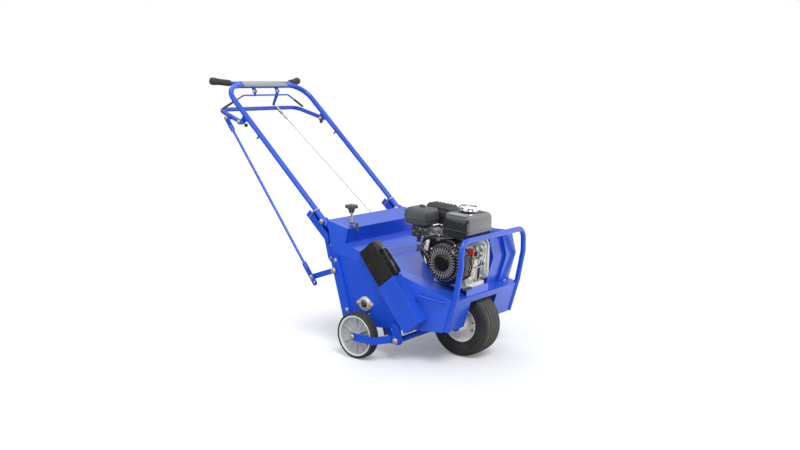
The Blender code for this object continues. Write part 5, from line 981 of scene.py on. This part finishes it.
def tine_wheels():
    pitch = 100
    y, z = REEL
    for number in range(1, 6):
        x = (number - 3) * pitch
        centre = Vector((x, y, z))
        turn = radians(12 * number)
        holes = [circle(y, z, 12.8, 40)]
        outline = []
        for a in turns(120):
            wave = 0.5 + 0.5 * cos(6 * (a - turn))
            outline.append(polar(y, z, 60 + 15 * wave ** 0.8, a))
        holes += [circle(*polar(y, z, 40, turn + a), 7.5) for a in turns(6, 0.5)]
        disc = plate(outline, x - 3, x + 3, edge=0.8, holes=holes)
        free = 219.7
        near, far = max(0.3 - pitch / 2, -free - x), min(pitch / 2 - 0.3, free - x)
        profile = [(21.5, near + 1), (21.5, far - 1), (20.5, far), (12.8, far), (12.8, near), (20.5, near)]
        hub = ring(profile, centre, X_AXIS, steps=40)
        piece(f"tine_disc_{number}", SHROUD, disc, hub, body="tine_reel", slot="steel",
            replaces=f"tine_wheel_{number}")
        spoons, bolts = [], []
        for a in turns(6):
            a += turn
            out = Vector((0, cos(a), sin(a)))
            lead = Vector((0, -sin(a), cos(a)))
            spoons.append(spoon(centre, out, lead))
            for face in (-1, 1):
                bolts.append(bolt(centre + out * 66 + Vector((face * 9.8, 0, 0)), (face, 0, 0), 5.2))
        piece(f"coring_tines_{number}", TINE, *spoons, body="tine_reel")
        piece(f"tine_bolts_{number}", ZINC, *bolts, body="tine_reel")


def spoon(centre, out, lead):
    """One coring tine: a tube that opens into a tapering half pipe with a cutting edge."""
    across = Vector(X_AXIS)
    # Distance from the reel's centre, radius, and how far the tube is open
    stations = [(50, 9.8, 0), (60, 10, 0), (90, 10, 0), (98, 9.8, 0.15), (104, 9.6, 0.42), (112, 9.4, 0.5),
        (130, 9, 0.5), (150, 8.4, 0.48), (157, 8, 0.44), (160, 7.7, 0.36)]
    wall = 2.2
    count = 20
    total = 2 * count
    rows = []
    for d, r, gap in stations:
        spread = pi * (1 - gap * 0.94)
        arc = [-spread + 2 * spread * k / (count - 1) for k in range(count)]
        rows.append([centre + out * d + (across * sin(a) - lead * cos(a)) * size for size, angles in ((r, arc),
            (r - wall, arc[::-1])) for a in angles])
    bm = skin(rows, ends=False)
    bm.verts.ensure_lookup_table()
    for first in (0, len(bm.verts) - total):
        row = bm.verts[first:first + total]
        for k in range(count - 1):
            bm.faces.new((row[k], row[k + 1], row[total - 2 - k], row[total - 1 - k]))
    return welded(bm)


tine_wheels()


# Engine, in engine coordinates


def rectangle(x0, y0, x1, y1, radius, steps=6):
    """An outline with its four corners rounded."""
    centres = [(x1 - radius, y1 - radius), (x0 + radius, y1 - radius), (x0 + radius, y0 + radius),
        (x1 - radius, y0 + radius)]
    return [(x + radius * cos(a), y + radius * sin(a)) for k, (x, y) in enumerate(centres)
        for a in (radians(90 * (k + j / steps)) for j in range(steps + 1))]


def inward(outline, distance):
    """The outline drawn in by a distance. Its corners stay as round as they were."""
    n = len(outline)
    result = []
    for k, (a, b) in enumerate(outline):
        before, after = Vector(outline[k - 1]), Vector(outline[(k + 1) % n])
        d = (after - before).normalized()
        result.append((a - d.y * distance, b + d.x * distance))
    return result


def rim(outline, levels, flat=False):
    """A solid that follows an outline through levels of (position, inset).

    A flat one has x, y points, and levels in z.
    """
    return outward(skin([[(a, b, at) if flat else (at, a, b) for a, b in inward(outline, inset)]
        for at, inset in levels]))


def fan_side():
    """Fan shroud and recoil starter cover."""
    outline = hull((0, 0, 98), (80, 35, 60), sides=96)
    levels = [(-150.8, 0), (-180, 0), (-185, 1.2), (-188, 3.5), (-189.5, 6.5), (-190, 10)]
    shroud = rim(outline, levels)
    lip = rim(outline, [(-150.8, -1.8), (-154, -1.8), (-154.6, 0)])
    lugs = [lathe([(7.8, 0), (7.8, 35.5), (7, 37.2), (0, 37.2)], (-151.2, *polar(0, 0, 94.5, radians(a))), (-1, 0, 0),
        24) for a in (118, 158, 205, 262, 335)]
    engine_piece("fan_housing", SHROUD, shroud, lip, replaces="fan_shroud")
    engine_piece("fan_housing_lugs", SHROUD, *lugs)
    # Starter cover: stepped rim, recessed ring of louvres and a plain centre
    x = -190.3
    profile = [(74.5, 0.2), (81.2, 0), (81.2, -1.6), (79.8, -3), (78.5, -11), (76.5, -16), (73.5, -20.5), (70.5, -24),
        (68, -26.2), (66.5, -27.2), (65.5, -26.8), (65, -22.5), (38, -24.5), (37.5, -29), (36.5, -30.5),
        (34.5, -31.2), (33, -30.6), (31, -32.2), (29, -33.5), (25.5, -34.2), (0, -34.6)]
    cover = lathe(profile, (x, 0, 0), X_AXIS, 108)
    louvres = []
    for a in turns(30):
        left, right = [], []
        for t in (0, 0.25, 0.5, 0.75, 1):
            r, b, wide = 37.2 + 28.4 * t, a + t / 10, 1.3 + 0.7 * t
            left.append((r * cos(b) - wide * sin(b), r * sin(b) + wide * cos(b)))
            right.append((r * cos(b) + wide * sin(b), r * sin(b) - wide * cos(b)))
        louvres.append(left + right[::-1])
    face = plate(louvres[0], x - 28.8, x - 21.5, edge=0.5, holes=louvres[1:])
    ribs = []
    for a in turns(36, 0.5):
        out = Vector((0, cos(a), sin(a)))
        ribs.append(sweep([out * 79.4 + Vector((x - 4, 0, 0)), out * 78.8 + Vector((x - 10.5, 0, 0)),
            out * 76.5 + Vector((x - 16.6, 0, 0)), out * 72.2 + Vector((x - 22.2, 0, 0))], 1.5, 8, [0.9, 1.7, 1.7,
            0.9]))
    middle = ring([(52, -28), (53.2, -29.2), (54.5, -28)], (x, 0, 0), X_AXIS, 96)
    guide_end = GRIP_REST - PULL * 20.5
    guide = lathe([(4, 0), (7.2, 0), (8.5, 1.4), (8.8, 12), (9.8, 20), (12, 40), (0, 41.5)], guide_end, -PULL, 32)
    engine_piece("starter_cover", SHROUD, cover, guide, slot="black_plastic", replaces="recoil_cover")
    engine_piece("starter_louvres", LOUVRE, face, *ribs, middle)
    # The edge strips' whitish, non-metal colour is a painted reflection of the bright room on their bare metal.
    edge = [plate([(112, 33), (114, 56), (104, 74), (90, 80), (88, 72), (92.5, 30)], -192.5, -189.8, edge=0.6),
        plate([(108.5, -6), (113, 16), (103, 16), (98.5, -10), (93, -26), (100, -26)], -192.5, -189.8, edge=0.6)]
    engine_piece("shroud_edge", GALVANISED, *edge, slot="zinc")
    # Dark ring behind the louvres, seen through their gaps: painted shade.
    dark = ring([(64.8, -22.6), (64.8, -23.2), (38.2, -25), (38.2, -24.4)], (x, 0, 0), X_AXIS, 96)
    engine_piece("starter_slots", SHADE_FILL, dark)
    screws = [bolt((-189.9, *polar(0, 0, 86, radians(a))), (-1, 0, 0), 4.6) for a in (28, 118, 208, 298)]
    engine_piece("starter_screws", BRIGHT, *screws)


PULL = Vector((0, 72, 69)).normalized()
GRIP_REST = Vector((-222, 108, 50))
fan_side()


def pull_handle():
    cross = Vector((0, -PULL.z, PULL.y))
    stations = [(-30, 3.5), (-29.2, 5.2), (-25, 6.2), (-15, 7.8), (-5, 9.2), (0, 9.5)]
    stations += [(-d, r) for d, r in stations[-2::-1]]
    grip = sweep([GRIP_REST + cross * d for d, r in stations], 8, 28, [r for d, r in stations])
    neck = sweep([GRIP_REST, GRIP_REST - PULL * 8, GRIP_REST - PULL * 13.5, GRIP_REST - PULL * 20], 6, 24,
        [8.8, 7.8, 6.2, 5])
    engine_piece("pull_grip", PULL_GREY, grip, neck, body="recoil_handle", replaces="recoil_handle")
    rope = sweep([GRIP_REST - PULL * d for d in (18, 27, 36)], 2.5, 12)
    engine_piece("pull_rope", RUBBER, rope, body="recoil_handle", slot="black_plastic")


pull_handle()


def fuel_tank():
    """Pressed tank with a rolled seam, and the neck that takes the cap."""
    outline = rectangle(-190, -95, 12, 36, 22, 8)
    levels = [(108, 13), (108.5, 8.5), (110.5, 4), (114, 1.5), (120, 0), (137.4, 0), (138.2, -2.8), (139, -3.2),
        (141.2, -3.2), (142, -2.8), (142.8, 0), (176, 1.2), (189, 3.5), (196, 7), (201.5, 12), (204.5, 18),
        (205.7, 21.2)]
    shell = engine_piece("tank_shell", TANK, rim(outline, levels, flat=True), replaces="fuel_tank", sharp=SOFT)
    cut_with(shell, lathe([(0, 196), (22.2, 196), (22.2, 210), (0, 210)], CAP_AT, Z_AXIS, 48), ENGINE)
    neck = ring([(34.5, 204), (34, 206.5), (32.5, 210.5), (31, 211.9), (22.2, 211.9), (22.2, 204)], CAP_AT, Z_AXIS,
        64)
    engine_piece("tank_neck", TANK, neck)


fuel_tank()


def tank_cap():
    """Bright fluted cap of the fuel tank."""
    levels = [(212.4, 34.5, 0), (213, 41.2, 0), (214.2, 42.8, 0.6), (217.5, 42.4, 2.4), (223.5, 41.6, 3.2),
        (226.8, 40, 2.8), (229.2, 37.2, 1.8), (230.6, 33.5, 0.8), (231, 28, 0), (230, 25, 0), (229.8, 14, 0),
        (231, 11.5, 0)]
    x, y, z = CAP_AT
    flutes = skin([[(*polar(x, y, r - wave * abs(sin(6 * a)) ** 0.7, a), z) for a in turns(144)]
        for z, r, wave in levels])
    wing = block((x - 5, y - 23.5, 229.4), (x + 5, y + 23.5, 231.8), 0.9)
    plug = lathe([(0, 200.2), (19.6, 200.2), (20.1, 202), (20.3, 213), (0, 213)], CAP_AT, Z_AXIS, 40)
    engine_piece("cap_flutes", CHROME, flutes, wing, plug, body="fuel_cap", replaces="fuel_cap", sharp=radians(55))


tank_cap()


def air_cleaner():
    """Moulded case with its lid, elbow, two clips and the knob on top."""
    outline = rectangle(-193, 118, -85, 230, 13, 6)
    levels = [(128.2, 11), (129, 6), (132, 2), (137, 0), (150.8, 0), (151.4, -2.6), (152.2, -3), (153.6, -3),
        (154, -2), (154.6, -2), (155, -3), (156, -3), (156.8, 0), (182, 1.6), (190, 4), (194.8, 7.8), (197, 12),
        (197.8, 12.5)]
    box_bm = rim(outline, levels, flat=True)
    panel = rim(rectangle(-176, 137, -102, 212, 10, 5), [(197, 0), (198.6, 0.4), (199.1, 1.4)], flat=True)
    elbow = block((-146, 126, 122.3), (-118.8, 164, 130), 2)
    clips = [block((-196.2, y - 8, 147), (-192, y + 8, 162), 1.2) for y in (146, 204)]
    corners = [pin((-190.2, y, 157.5), (-189, y, 185), 2.8, 16, 0.8) for y in (120.8, 227.2)]
    engine_piece("cleaner_case", PLASTIC, box_bm, panel, elbow, *clips, *corners, replaces="air_cleaner", sharp=SOFT)
    knob = plate(hull((164, 205.5, 4.8), (174, 203.5, 6.2), (184, 205.5, 4.8)), -143.2, -136.8, edge=1.4)
    stem = lathe([(0, 198), (8.5, 198), (8, 200), (6.6, 202.5), (0, 203)], (-140, 174, 0), Z_AXIS, 28)
    engine_piece("cleaner_knob", PLASTIC, knob, stem)


air_cleaner()


def muffler():
    """Pressed silencer under its ribbed guard."""
    outline = rectangle(-78, 81, 26, 217, 14, 6)
    levels = [(124, 12), (124.6, 7), (127.5, 2), (132, 0), (156, 0), (156.6, -2.2), (159.4, -2.2), (160, 0), (177, 1),
        (183.5, 4), (186.8, 9.5), (188, 12.5)]
    body = rim(outline, levels, flat=True)
    cover = rim(rectangle(-70, 89, 18, 209, 12, 6), [(183, -1.6), (187.5, -1.6), (188.1, 0), (196, 0.8), (200, 3.6),
        (201.2, 8)], flat=True)
    ribs = []
    for k in range(6):
        y = 104 + 19 * k
        path = [(-66.5, y, 191.5), (-63.5, y, 198.5), (-56, y, 202.5), (4, y, 202.5), (11.5, y, 198.5),
            (14.5, y, 191.5)]
        ribs.append(sweep(rounded(path, 6, 15), 4.8, 14))
    c, s = cos(radians(25)), sin(radians(25))
    ends = [(-40, a * c - b * s, a * s + b * c) for a, b in ((159, 76.5), (159, 46.5))]
    pipe = pin(*ends, 8.4)
    engine_piece("muffler_shell", HEATED, body, cover, *ribs, pipe, replaces="muffler", sharp=SOFT)
    # Dark bars between the guard's ribs: painted shade in place of its openings.
    slot_shade = [block((-60, 109.5 + 19 * k, 199), (8, 117.5 + 19 * k, 201.8), 0.6) for k in range(5)]
    engine_piece("muffler_slots", SHADE_FILL, *slot_shade, slot="black_paint")
    outlet = ring([(7.5, 0), (10, 0), (10, 12.5), (9.2, 14), (7.5, 14)], (-10, 209, 146), (0, 1, 0), 28)
    engine_piece("muffler_outlet", STEEL, outlet, slot="black_paint")


muffler()


def speed_control():
    """Bent bracket over the carburettor with its rods, spring and screws."""
    x = -152
    arm = plate([(62, 60), (88, 52), (128, 58), (160, 66), (160, 78), (128, 72), (92, 66), (74, 78), (74, 112),
        (62, 112)], x - 2, x, edge=0.6)
    cowl = rim(rectangle(-163, 120, -150, 178, 4, 4), [(96, 2), (97, 0), (117, 0), (119, 2)], flat=True)
    chamber = rim(rectangle(-144, 172, -98, 224, 8, 5), [(64, 4), (67, 1), (70, 0), (128.5, 0)], flat=True)
    spout = pin((-120, 196, 40), (-120, 196, 68), 9, 24, 1.2)
    engine_piece("control_bracket", PLASTIC, arm, cowl, chamber, spout)
    rods = [sweep(rounded([(x - 4, 66, 104), (x - 5, 90, 94), (x - 5, 128, 96)], 8, 10), 1.2, 8),
        sweep(rounded([(x - 3.4, 70, 70), (x - 5.2, 98, 78), (x - 4.5, 138, 84)], 8, 10), 1.2, 8),
        sweep(rounded([(x - 3, 64, 86), (x - 4.8, 80, 86), (x - 4.8, 112, 104)], 6, 10), 1, 8)]
    coil = [Vector((x - 5 + 3 * cos(2 * pi * t / 8), 84 + 30 * t / 96, 87 + 3 * sin(2 * pi * t / 8)))
        for t in range(97)]
    rods.append(sweep(coil, 0.7, 6))
    screws = [bolt((x - 2.1, y, z), (-1, 0, 0), 4.8) for y, z in ((68, 96), (104, 60.5), (152, 72))]
    screws += [bolt((-163.1, y, 106), (-1, 0, 0), 4.4) for y in (136, 162)]
    engine_piece("control_rods", BRIGHT, *rods, *screws)
    clips = [block((-145.2, y, z), (-143.8, y + 12, z + 6), 0.5) for y, z in ((184, 104), (204, 84), (182, 76))]
    engine_piece("chamber_clips", BRIGHT, *clips)


speed_control()

dress("choke_lever", PLASTIC, 0.6)
dress("throttle_lever", STEEL, 0.4)


def stop_switch():
    x, y, z = -130, -74.8, 52
    body = lathe([(0, 0.2), (11.8, 0.2), (13, 1.2), (13, 9.8), (11.8, 11.6), (0, 12)], (x, y, z), (0, -1, 0), 40)
    ridge = block((x - 4, y - 22, z - 13.2), (x + 4, y - 10.5, z + 13.2), 1.8)
    engine_piece("switch_knob", RED, body, ridge, body="engine_switch", replaces="engine_switch")


stop_switch()


def oil_cap():
    base, out = Vector((-18, -88, -50)), Vector((0, -9615, 2747)).normalized()
    side = Vector(X_AXIS)
    up = out.cross(side)
    profile = [(0, -11), (8.2, -11), (8.7, -10), (8.7, 0.4), (15, 0.4), (16, 1.4), (16, 8), (14.8, 9.6), (0, 9.8)]
    body = lathe(profile, base, out, 40)
    grips = []
    for a in turns(20):
        d = side * cos(a) + up * sin(a)
        grips.append(pin(base + d * 15.8 + out * 2, base + d * 15.8 + out * 8, 1, 8))
    wing = sweep([base + side * -9 + out * 13.5, base + side * 9 + out * 13.5], 4.2, 16)
    engine_piece("oil_plug", SPOKES, body, *grips, wing, body="oil_filler_cap", replaces="oil_filler_cap")


oil_cap()


def crankcase():
    """Ribs, bosses, bolts and leads on the cast crankcase, and the bolts of its foot."""
    front = -73.5
    shapes = []
    for x, low, high in ((-128, -84, 20), (-104, -84, 36), (-62, -84, -20), (-30, -30, 46), (-8, -84, 50)):
        shapes.append(block((x - 1.8, front - 5, low), (x + 1.8, front + 10, high), 1.2))
    for z, x0, x1 in ((-30, -130, -6), (18, -106, -8), (46, -100, -6)):
        shapes.append(block((x0, front - 3.6, z - 1.6), (x1, front + 10, z + 1.6), 1))
    bosses = ((-118, -10), (-46, 32), (-16, -4), (-82, 60), (-90, -52), (-22, 60))
    for x, z in bosses:
        shapes.append(lathe([(9.5, -10), (8.2, 7), (7.4, 8), (0, 8)], (x, front, z), (0, -1, 0), 28))
    for k in range(5):
        shapes.append(sweep(rounded([(-150 + 12 * k, -88, -88.5), (-150 + 12 * k, -77, -70)], 4), 2.2, 10))
    shapes.append(sweep(rounded([(-60, front - 4, -14), (-60, front - 10, 10), (-36, front - 10, 16), (-36, front - 8,
        52), (-60, front - 6, 72)], 10, 12), 6.2, 20))
    shapes.append(block((-98, front - 8, -22), (-66, front + 4, 12), 4))
    # Side cover at the drive end
    cover = hull((-50, -68, 30), (52, -68, 30), (46, 44, 38), (-36, 50, 38))
    shapes.append(rim(cover, [(15, -0.6), (18, -0.6), (18.5, 0.2), (29.2, 1.2), (30.8, 3)]))
    for a in turns(8, 0.5):
        near, far = Vector((30, 27 * cos(a), 27 * sin(a))), Vector((30, 60 * cos(a), 58 * sin(a) - 6))
        shapes.append(sweep([near, far], 2.4, 10, [3, 1.4]))
    engine_piece("crankcase_ribs", CAST, *shapes)
    # Dark patches on the casting's face between its ribs: painted shade where its hollows would be.
    hollow_shade = [block((x0, front - 0.9, z0), (x1, front + 4, z1), 0.8) for x0, z0, x1, z1 in ((-100, -26, -66, -24),
        (-57, -26, -33, 14), (-124, 22, -107, 52), (-26, 22, -11, 42), (-100, 22, -64, 42), (-58, -80, -34, -34),
        (-125, -70, -107, -34), (-26, -26, -11, -14))]
    engine_piece("crankcase_hollows", SHADE_FILL, *hollow_shade, slot="cast_aluminium")
    bolts = [bolt((x, front - 7.8, z), (0, -1, 0), 5) for x, z in bosses]
    bolts += [bolt((x, y, -88.1), Z_AXIS, 7) for x in (-136, -40) for y in (-79, 68)]
    for a in turns(6, 1 / 3):
        bolts.append(bolt((30.6, 66 * cos(a), 62 * sin(a) - 8), X_AXIS, 5.2))
    bolts.append(bolt((-112, -74, -72), (0, -1, 0), 7.6))
    engine_piece("crankcase_bolts", ZINC, *bolts)
    lead = rounded([(-130, -74.5, 36), (-134, -90, 18), (-128, -92, -20), (-138, -86, -52), (-146, -72, -66)], 20, 10)
    second = rounded([(-124, -74.5, 36), (-118, -89, 16), (-96, -90, 20), (-88, -84, 46), (-90, -73, 66)], 12, 10)
    engine_piece("switch_leads", SLEEVE, sweep(lead, 3.4, 16), sweep(second, 2, 12))
    third = rounded([(-120, -74.5, 40), (-110, -87, 30), (-106, -88, 0), (-110, -82, -18)], 12, 10)
    clip = pin((-110, -84, -6), (-110, -84, -20), 4, 16, 0.6)
    engine_piece("earth_lead", BRASS, sweep(third, 1.8, 12), clip)


crankcase()


def small_fittings():
    """Rubber strip under the foot's front edge, and the eye bolt on the deck."""
    strip = block((-180, -100, -107.5), (-124, -88.5, -98.5), 1.2)
    engine_piece("foot_strip", RUBBER, strip)
    y = -391
    at = Vector((198, y, deck_z(y)))
    up = Vector((0, -sin(DECK_SLOPE), cos(DECK_SLOPE)))
    eye = sweep([at + up * 18 + (Vector((cos(a), 0, 0)) + up * sin(a)) * 10 for a in turns(28)], 3.4, sides=12,
        closed=True)
    shank = pin(at + up * 2, at + up * 9.2, 4.5, chamfer=0.4)
    piece("eye_bolt", ZINC, eye, shank, bolt(at + up * 0.4, up, 10.5, tall=0.45))


small_fittings()


# Camera, at the photograph's angle, in metres like all that follows


def camera():
    data = bpy.data.cameras.new("view")
    obj = placed("view", data)
    turn, dip = radians(-50.46), radians(8.38)
    ahead = Vector((-sin(turn) * cos(dip), cos(turn) * cos(dip), -sin(dip)))
    right = Vector((cos(turn), sin(turn), 0))
    axes = Matrix((right, right.cross(ahead), -ahead)).transposed().to_4x4()
    obj.matrix_world = Matrix.Translation((-3.284, -2.7622, 1.196)) @ axes
    data.sensor_width = 36
    data.lens = 41.2
    data.shift_x, data.shift_y = 0.035, -0.0125
    data.clip_start, data.clip_end = 0.05, 60
    bpy.context.scene.camera = obj


camera()


def soft_sun(name, azimuth, height, strength, width):
    """A wide, even light from a compass direction, seen from above, and a height, in degrees."""
    data = bpy.data.lights.new(name, "SUN")
    data.energy = strength
    data.angle = radians(width)
    turn, rise = radians(azimuth), radians(height)
    source = Vector((sin(turn) * cos(rise), cos(turn) * cos(rise), sin(rise)))
    placed(name, data).rotation_euler = source.to_track_quat("Z", "Y").to_euler()


soft_sun("key", 215, 52, 1.5, 26)
soft_sun("fill", 285, 30, 0.55, 60)
soft_sun("rim", 40, 48, 0.5, 50)


def lighter_ahead(nodes, links, where, low, high):
    """Grey that brightens toward the machine's front right, as a shiny face sees it."""
    along = add(nodes, "VectorMath", "DOT_PRODUCT")
    links.new(where, along.inputs[0])
    along.inputs[1].default_value = (0.77, -0.63, 0)
    level = add(nodes, "MapRange", From_Min=low, From_Max=high, To_Min=0.1, To_Max=1.8)
    links.new(along.outputs["Value"], level.inputs["Value"])
    return level.outputs["Result"]


def bright_world():
    """White to the camera and even to dull faces. Shiny faces see a bright ceiling and a lighter wall ahead."""
    world = bpy.data.worlds.new("studio")
    bpy.context.scene.world = world
    world.use_nodes = True
    nodes, links = world.node_tree.nodes, world.node_tree.links
    nodes.clear()
    paths = nodes.new("ShaderNodeLightPath").outputs
    clear = add(nodes, "Math", "MAXIMUM")
    links.new(paths["Is Camera Ray"], clear.inputs[0])
    links.new(paths["Is Transmission Ray"], clear.inputs[1])
    ambient = add(nodes, "Background", Color=(0.93, 0.96, 1, 1), Strength=0.55)
    white = add(nodes, "Background", Color=shade(1), Strength=1)
    seen = either(nodes, links, clear.outputs[0], ambient, white)
    around = nodes.new("ShaderNodeTexCoord").outputs["Generated"]
    split = nodes.new("ShaderNodeSeparateXYZ")
    links.new(around, split.inputs[0])
    heights = [(0, 0), (0.25, 0.05), (0.62, (0.9, 0.92, 0.95))]
    walls = ramp(nodes, links, split.outputs["Z"], heights)
    ahead = lighter_ahead(nodes, links, around, 0.45, 0.97)
    room = nodes.new("ShaderNodeBackground")
    links.new(mixed(nodes, links, 1, walls, ahead, "ADD"), room.inputs["Color"])
    pick = either(nodes, links, paths["Is Glossy Ray"], seen, room)
    links.new(pick.outputs[0], nodes.new("ShaderNodeOutputWorld").inputs["Surface"])


bright_world()


def floor():
    """Pale floor under the shadows. Shiny faces see it lit from ahead."""
    reach = 14
    corners = [(-reach, -reach), (reach, -reach), (reach, reach), (-reach, reach)]
    bm = bmesh.new()
    bm.faces.new([bm.verts.new((x, y, -0.0005)) for x, y in corners])
    obj = placed("floor", mesh_from(bm, "floor"))
    mat, nodes, links, shader = tree_of("pale_floor")
    for socket, value in (("Base Color", shade(0.86)), ("Roughness", 0.9), ("Specular IOR Level", 0.1)):
        shader.inputs[socket].default_value = value
    paths = nodes.new("ShaderNodeLightPath").outputs
    level = add(nodes, "Math", "MULTIPLY")
    level.inputs[1].default_value = 0.16
    links.new(paths["Is Camera Ray"], level.inputs[0])
    glow = add(nodes, "Emission", Color=shade(1))
    links.new(level.outputs[0], glow.inputs["Strength"])
    both = nodes.new("ShaderNodeAddShader")
    links.new(shader.outputs[0], both.inputs[0])
    links.new(glow.outputs[0], both.inputs[1])
    dim = add(nodes, "Emission", Color=(0.97, 0.98, 1, 1))
    position = nodes.new("ShaderNodeNewGeometry").outputs["Position"]
    links.new(lighter_ahead(nodes, links, position, 0.3, 1.3), dim.inputs["Strength"])
    pick = either(nodes, links, paths["Is Glossy Ray"], both, dim)
    links.new(pick.outputs[0], nodes["Material Output"].inputs["Surface"])
    obj.data.materials.append(mat)


floor()

bpy.context.scene.view_settings.view_transform = "Standard"
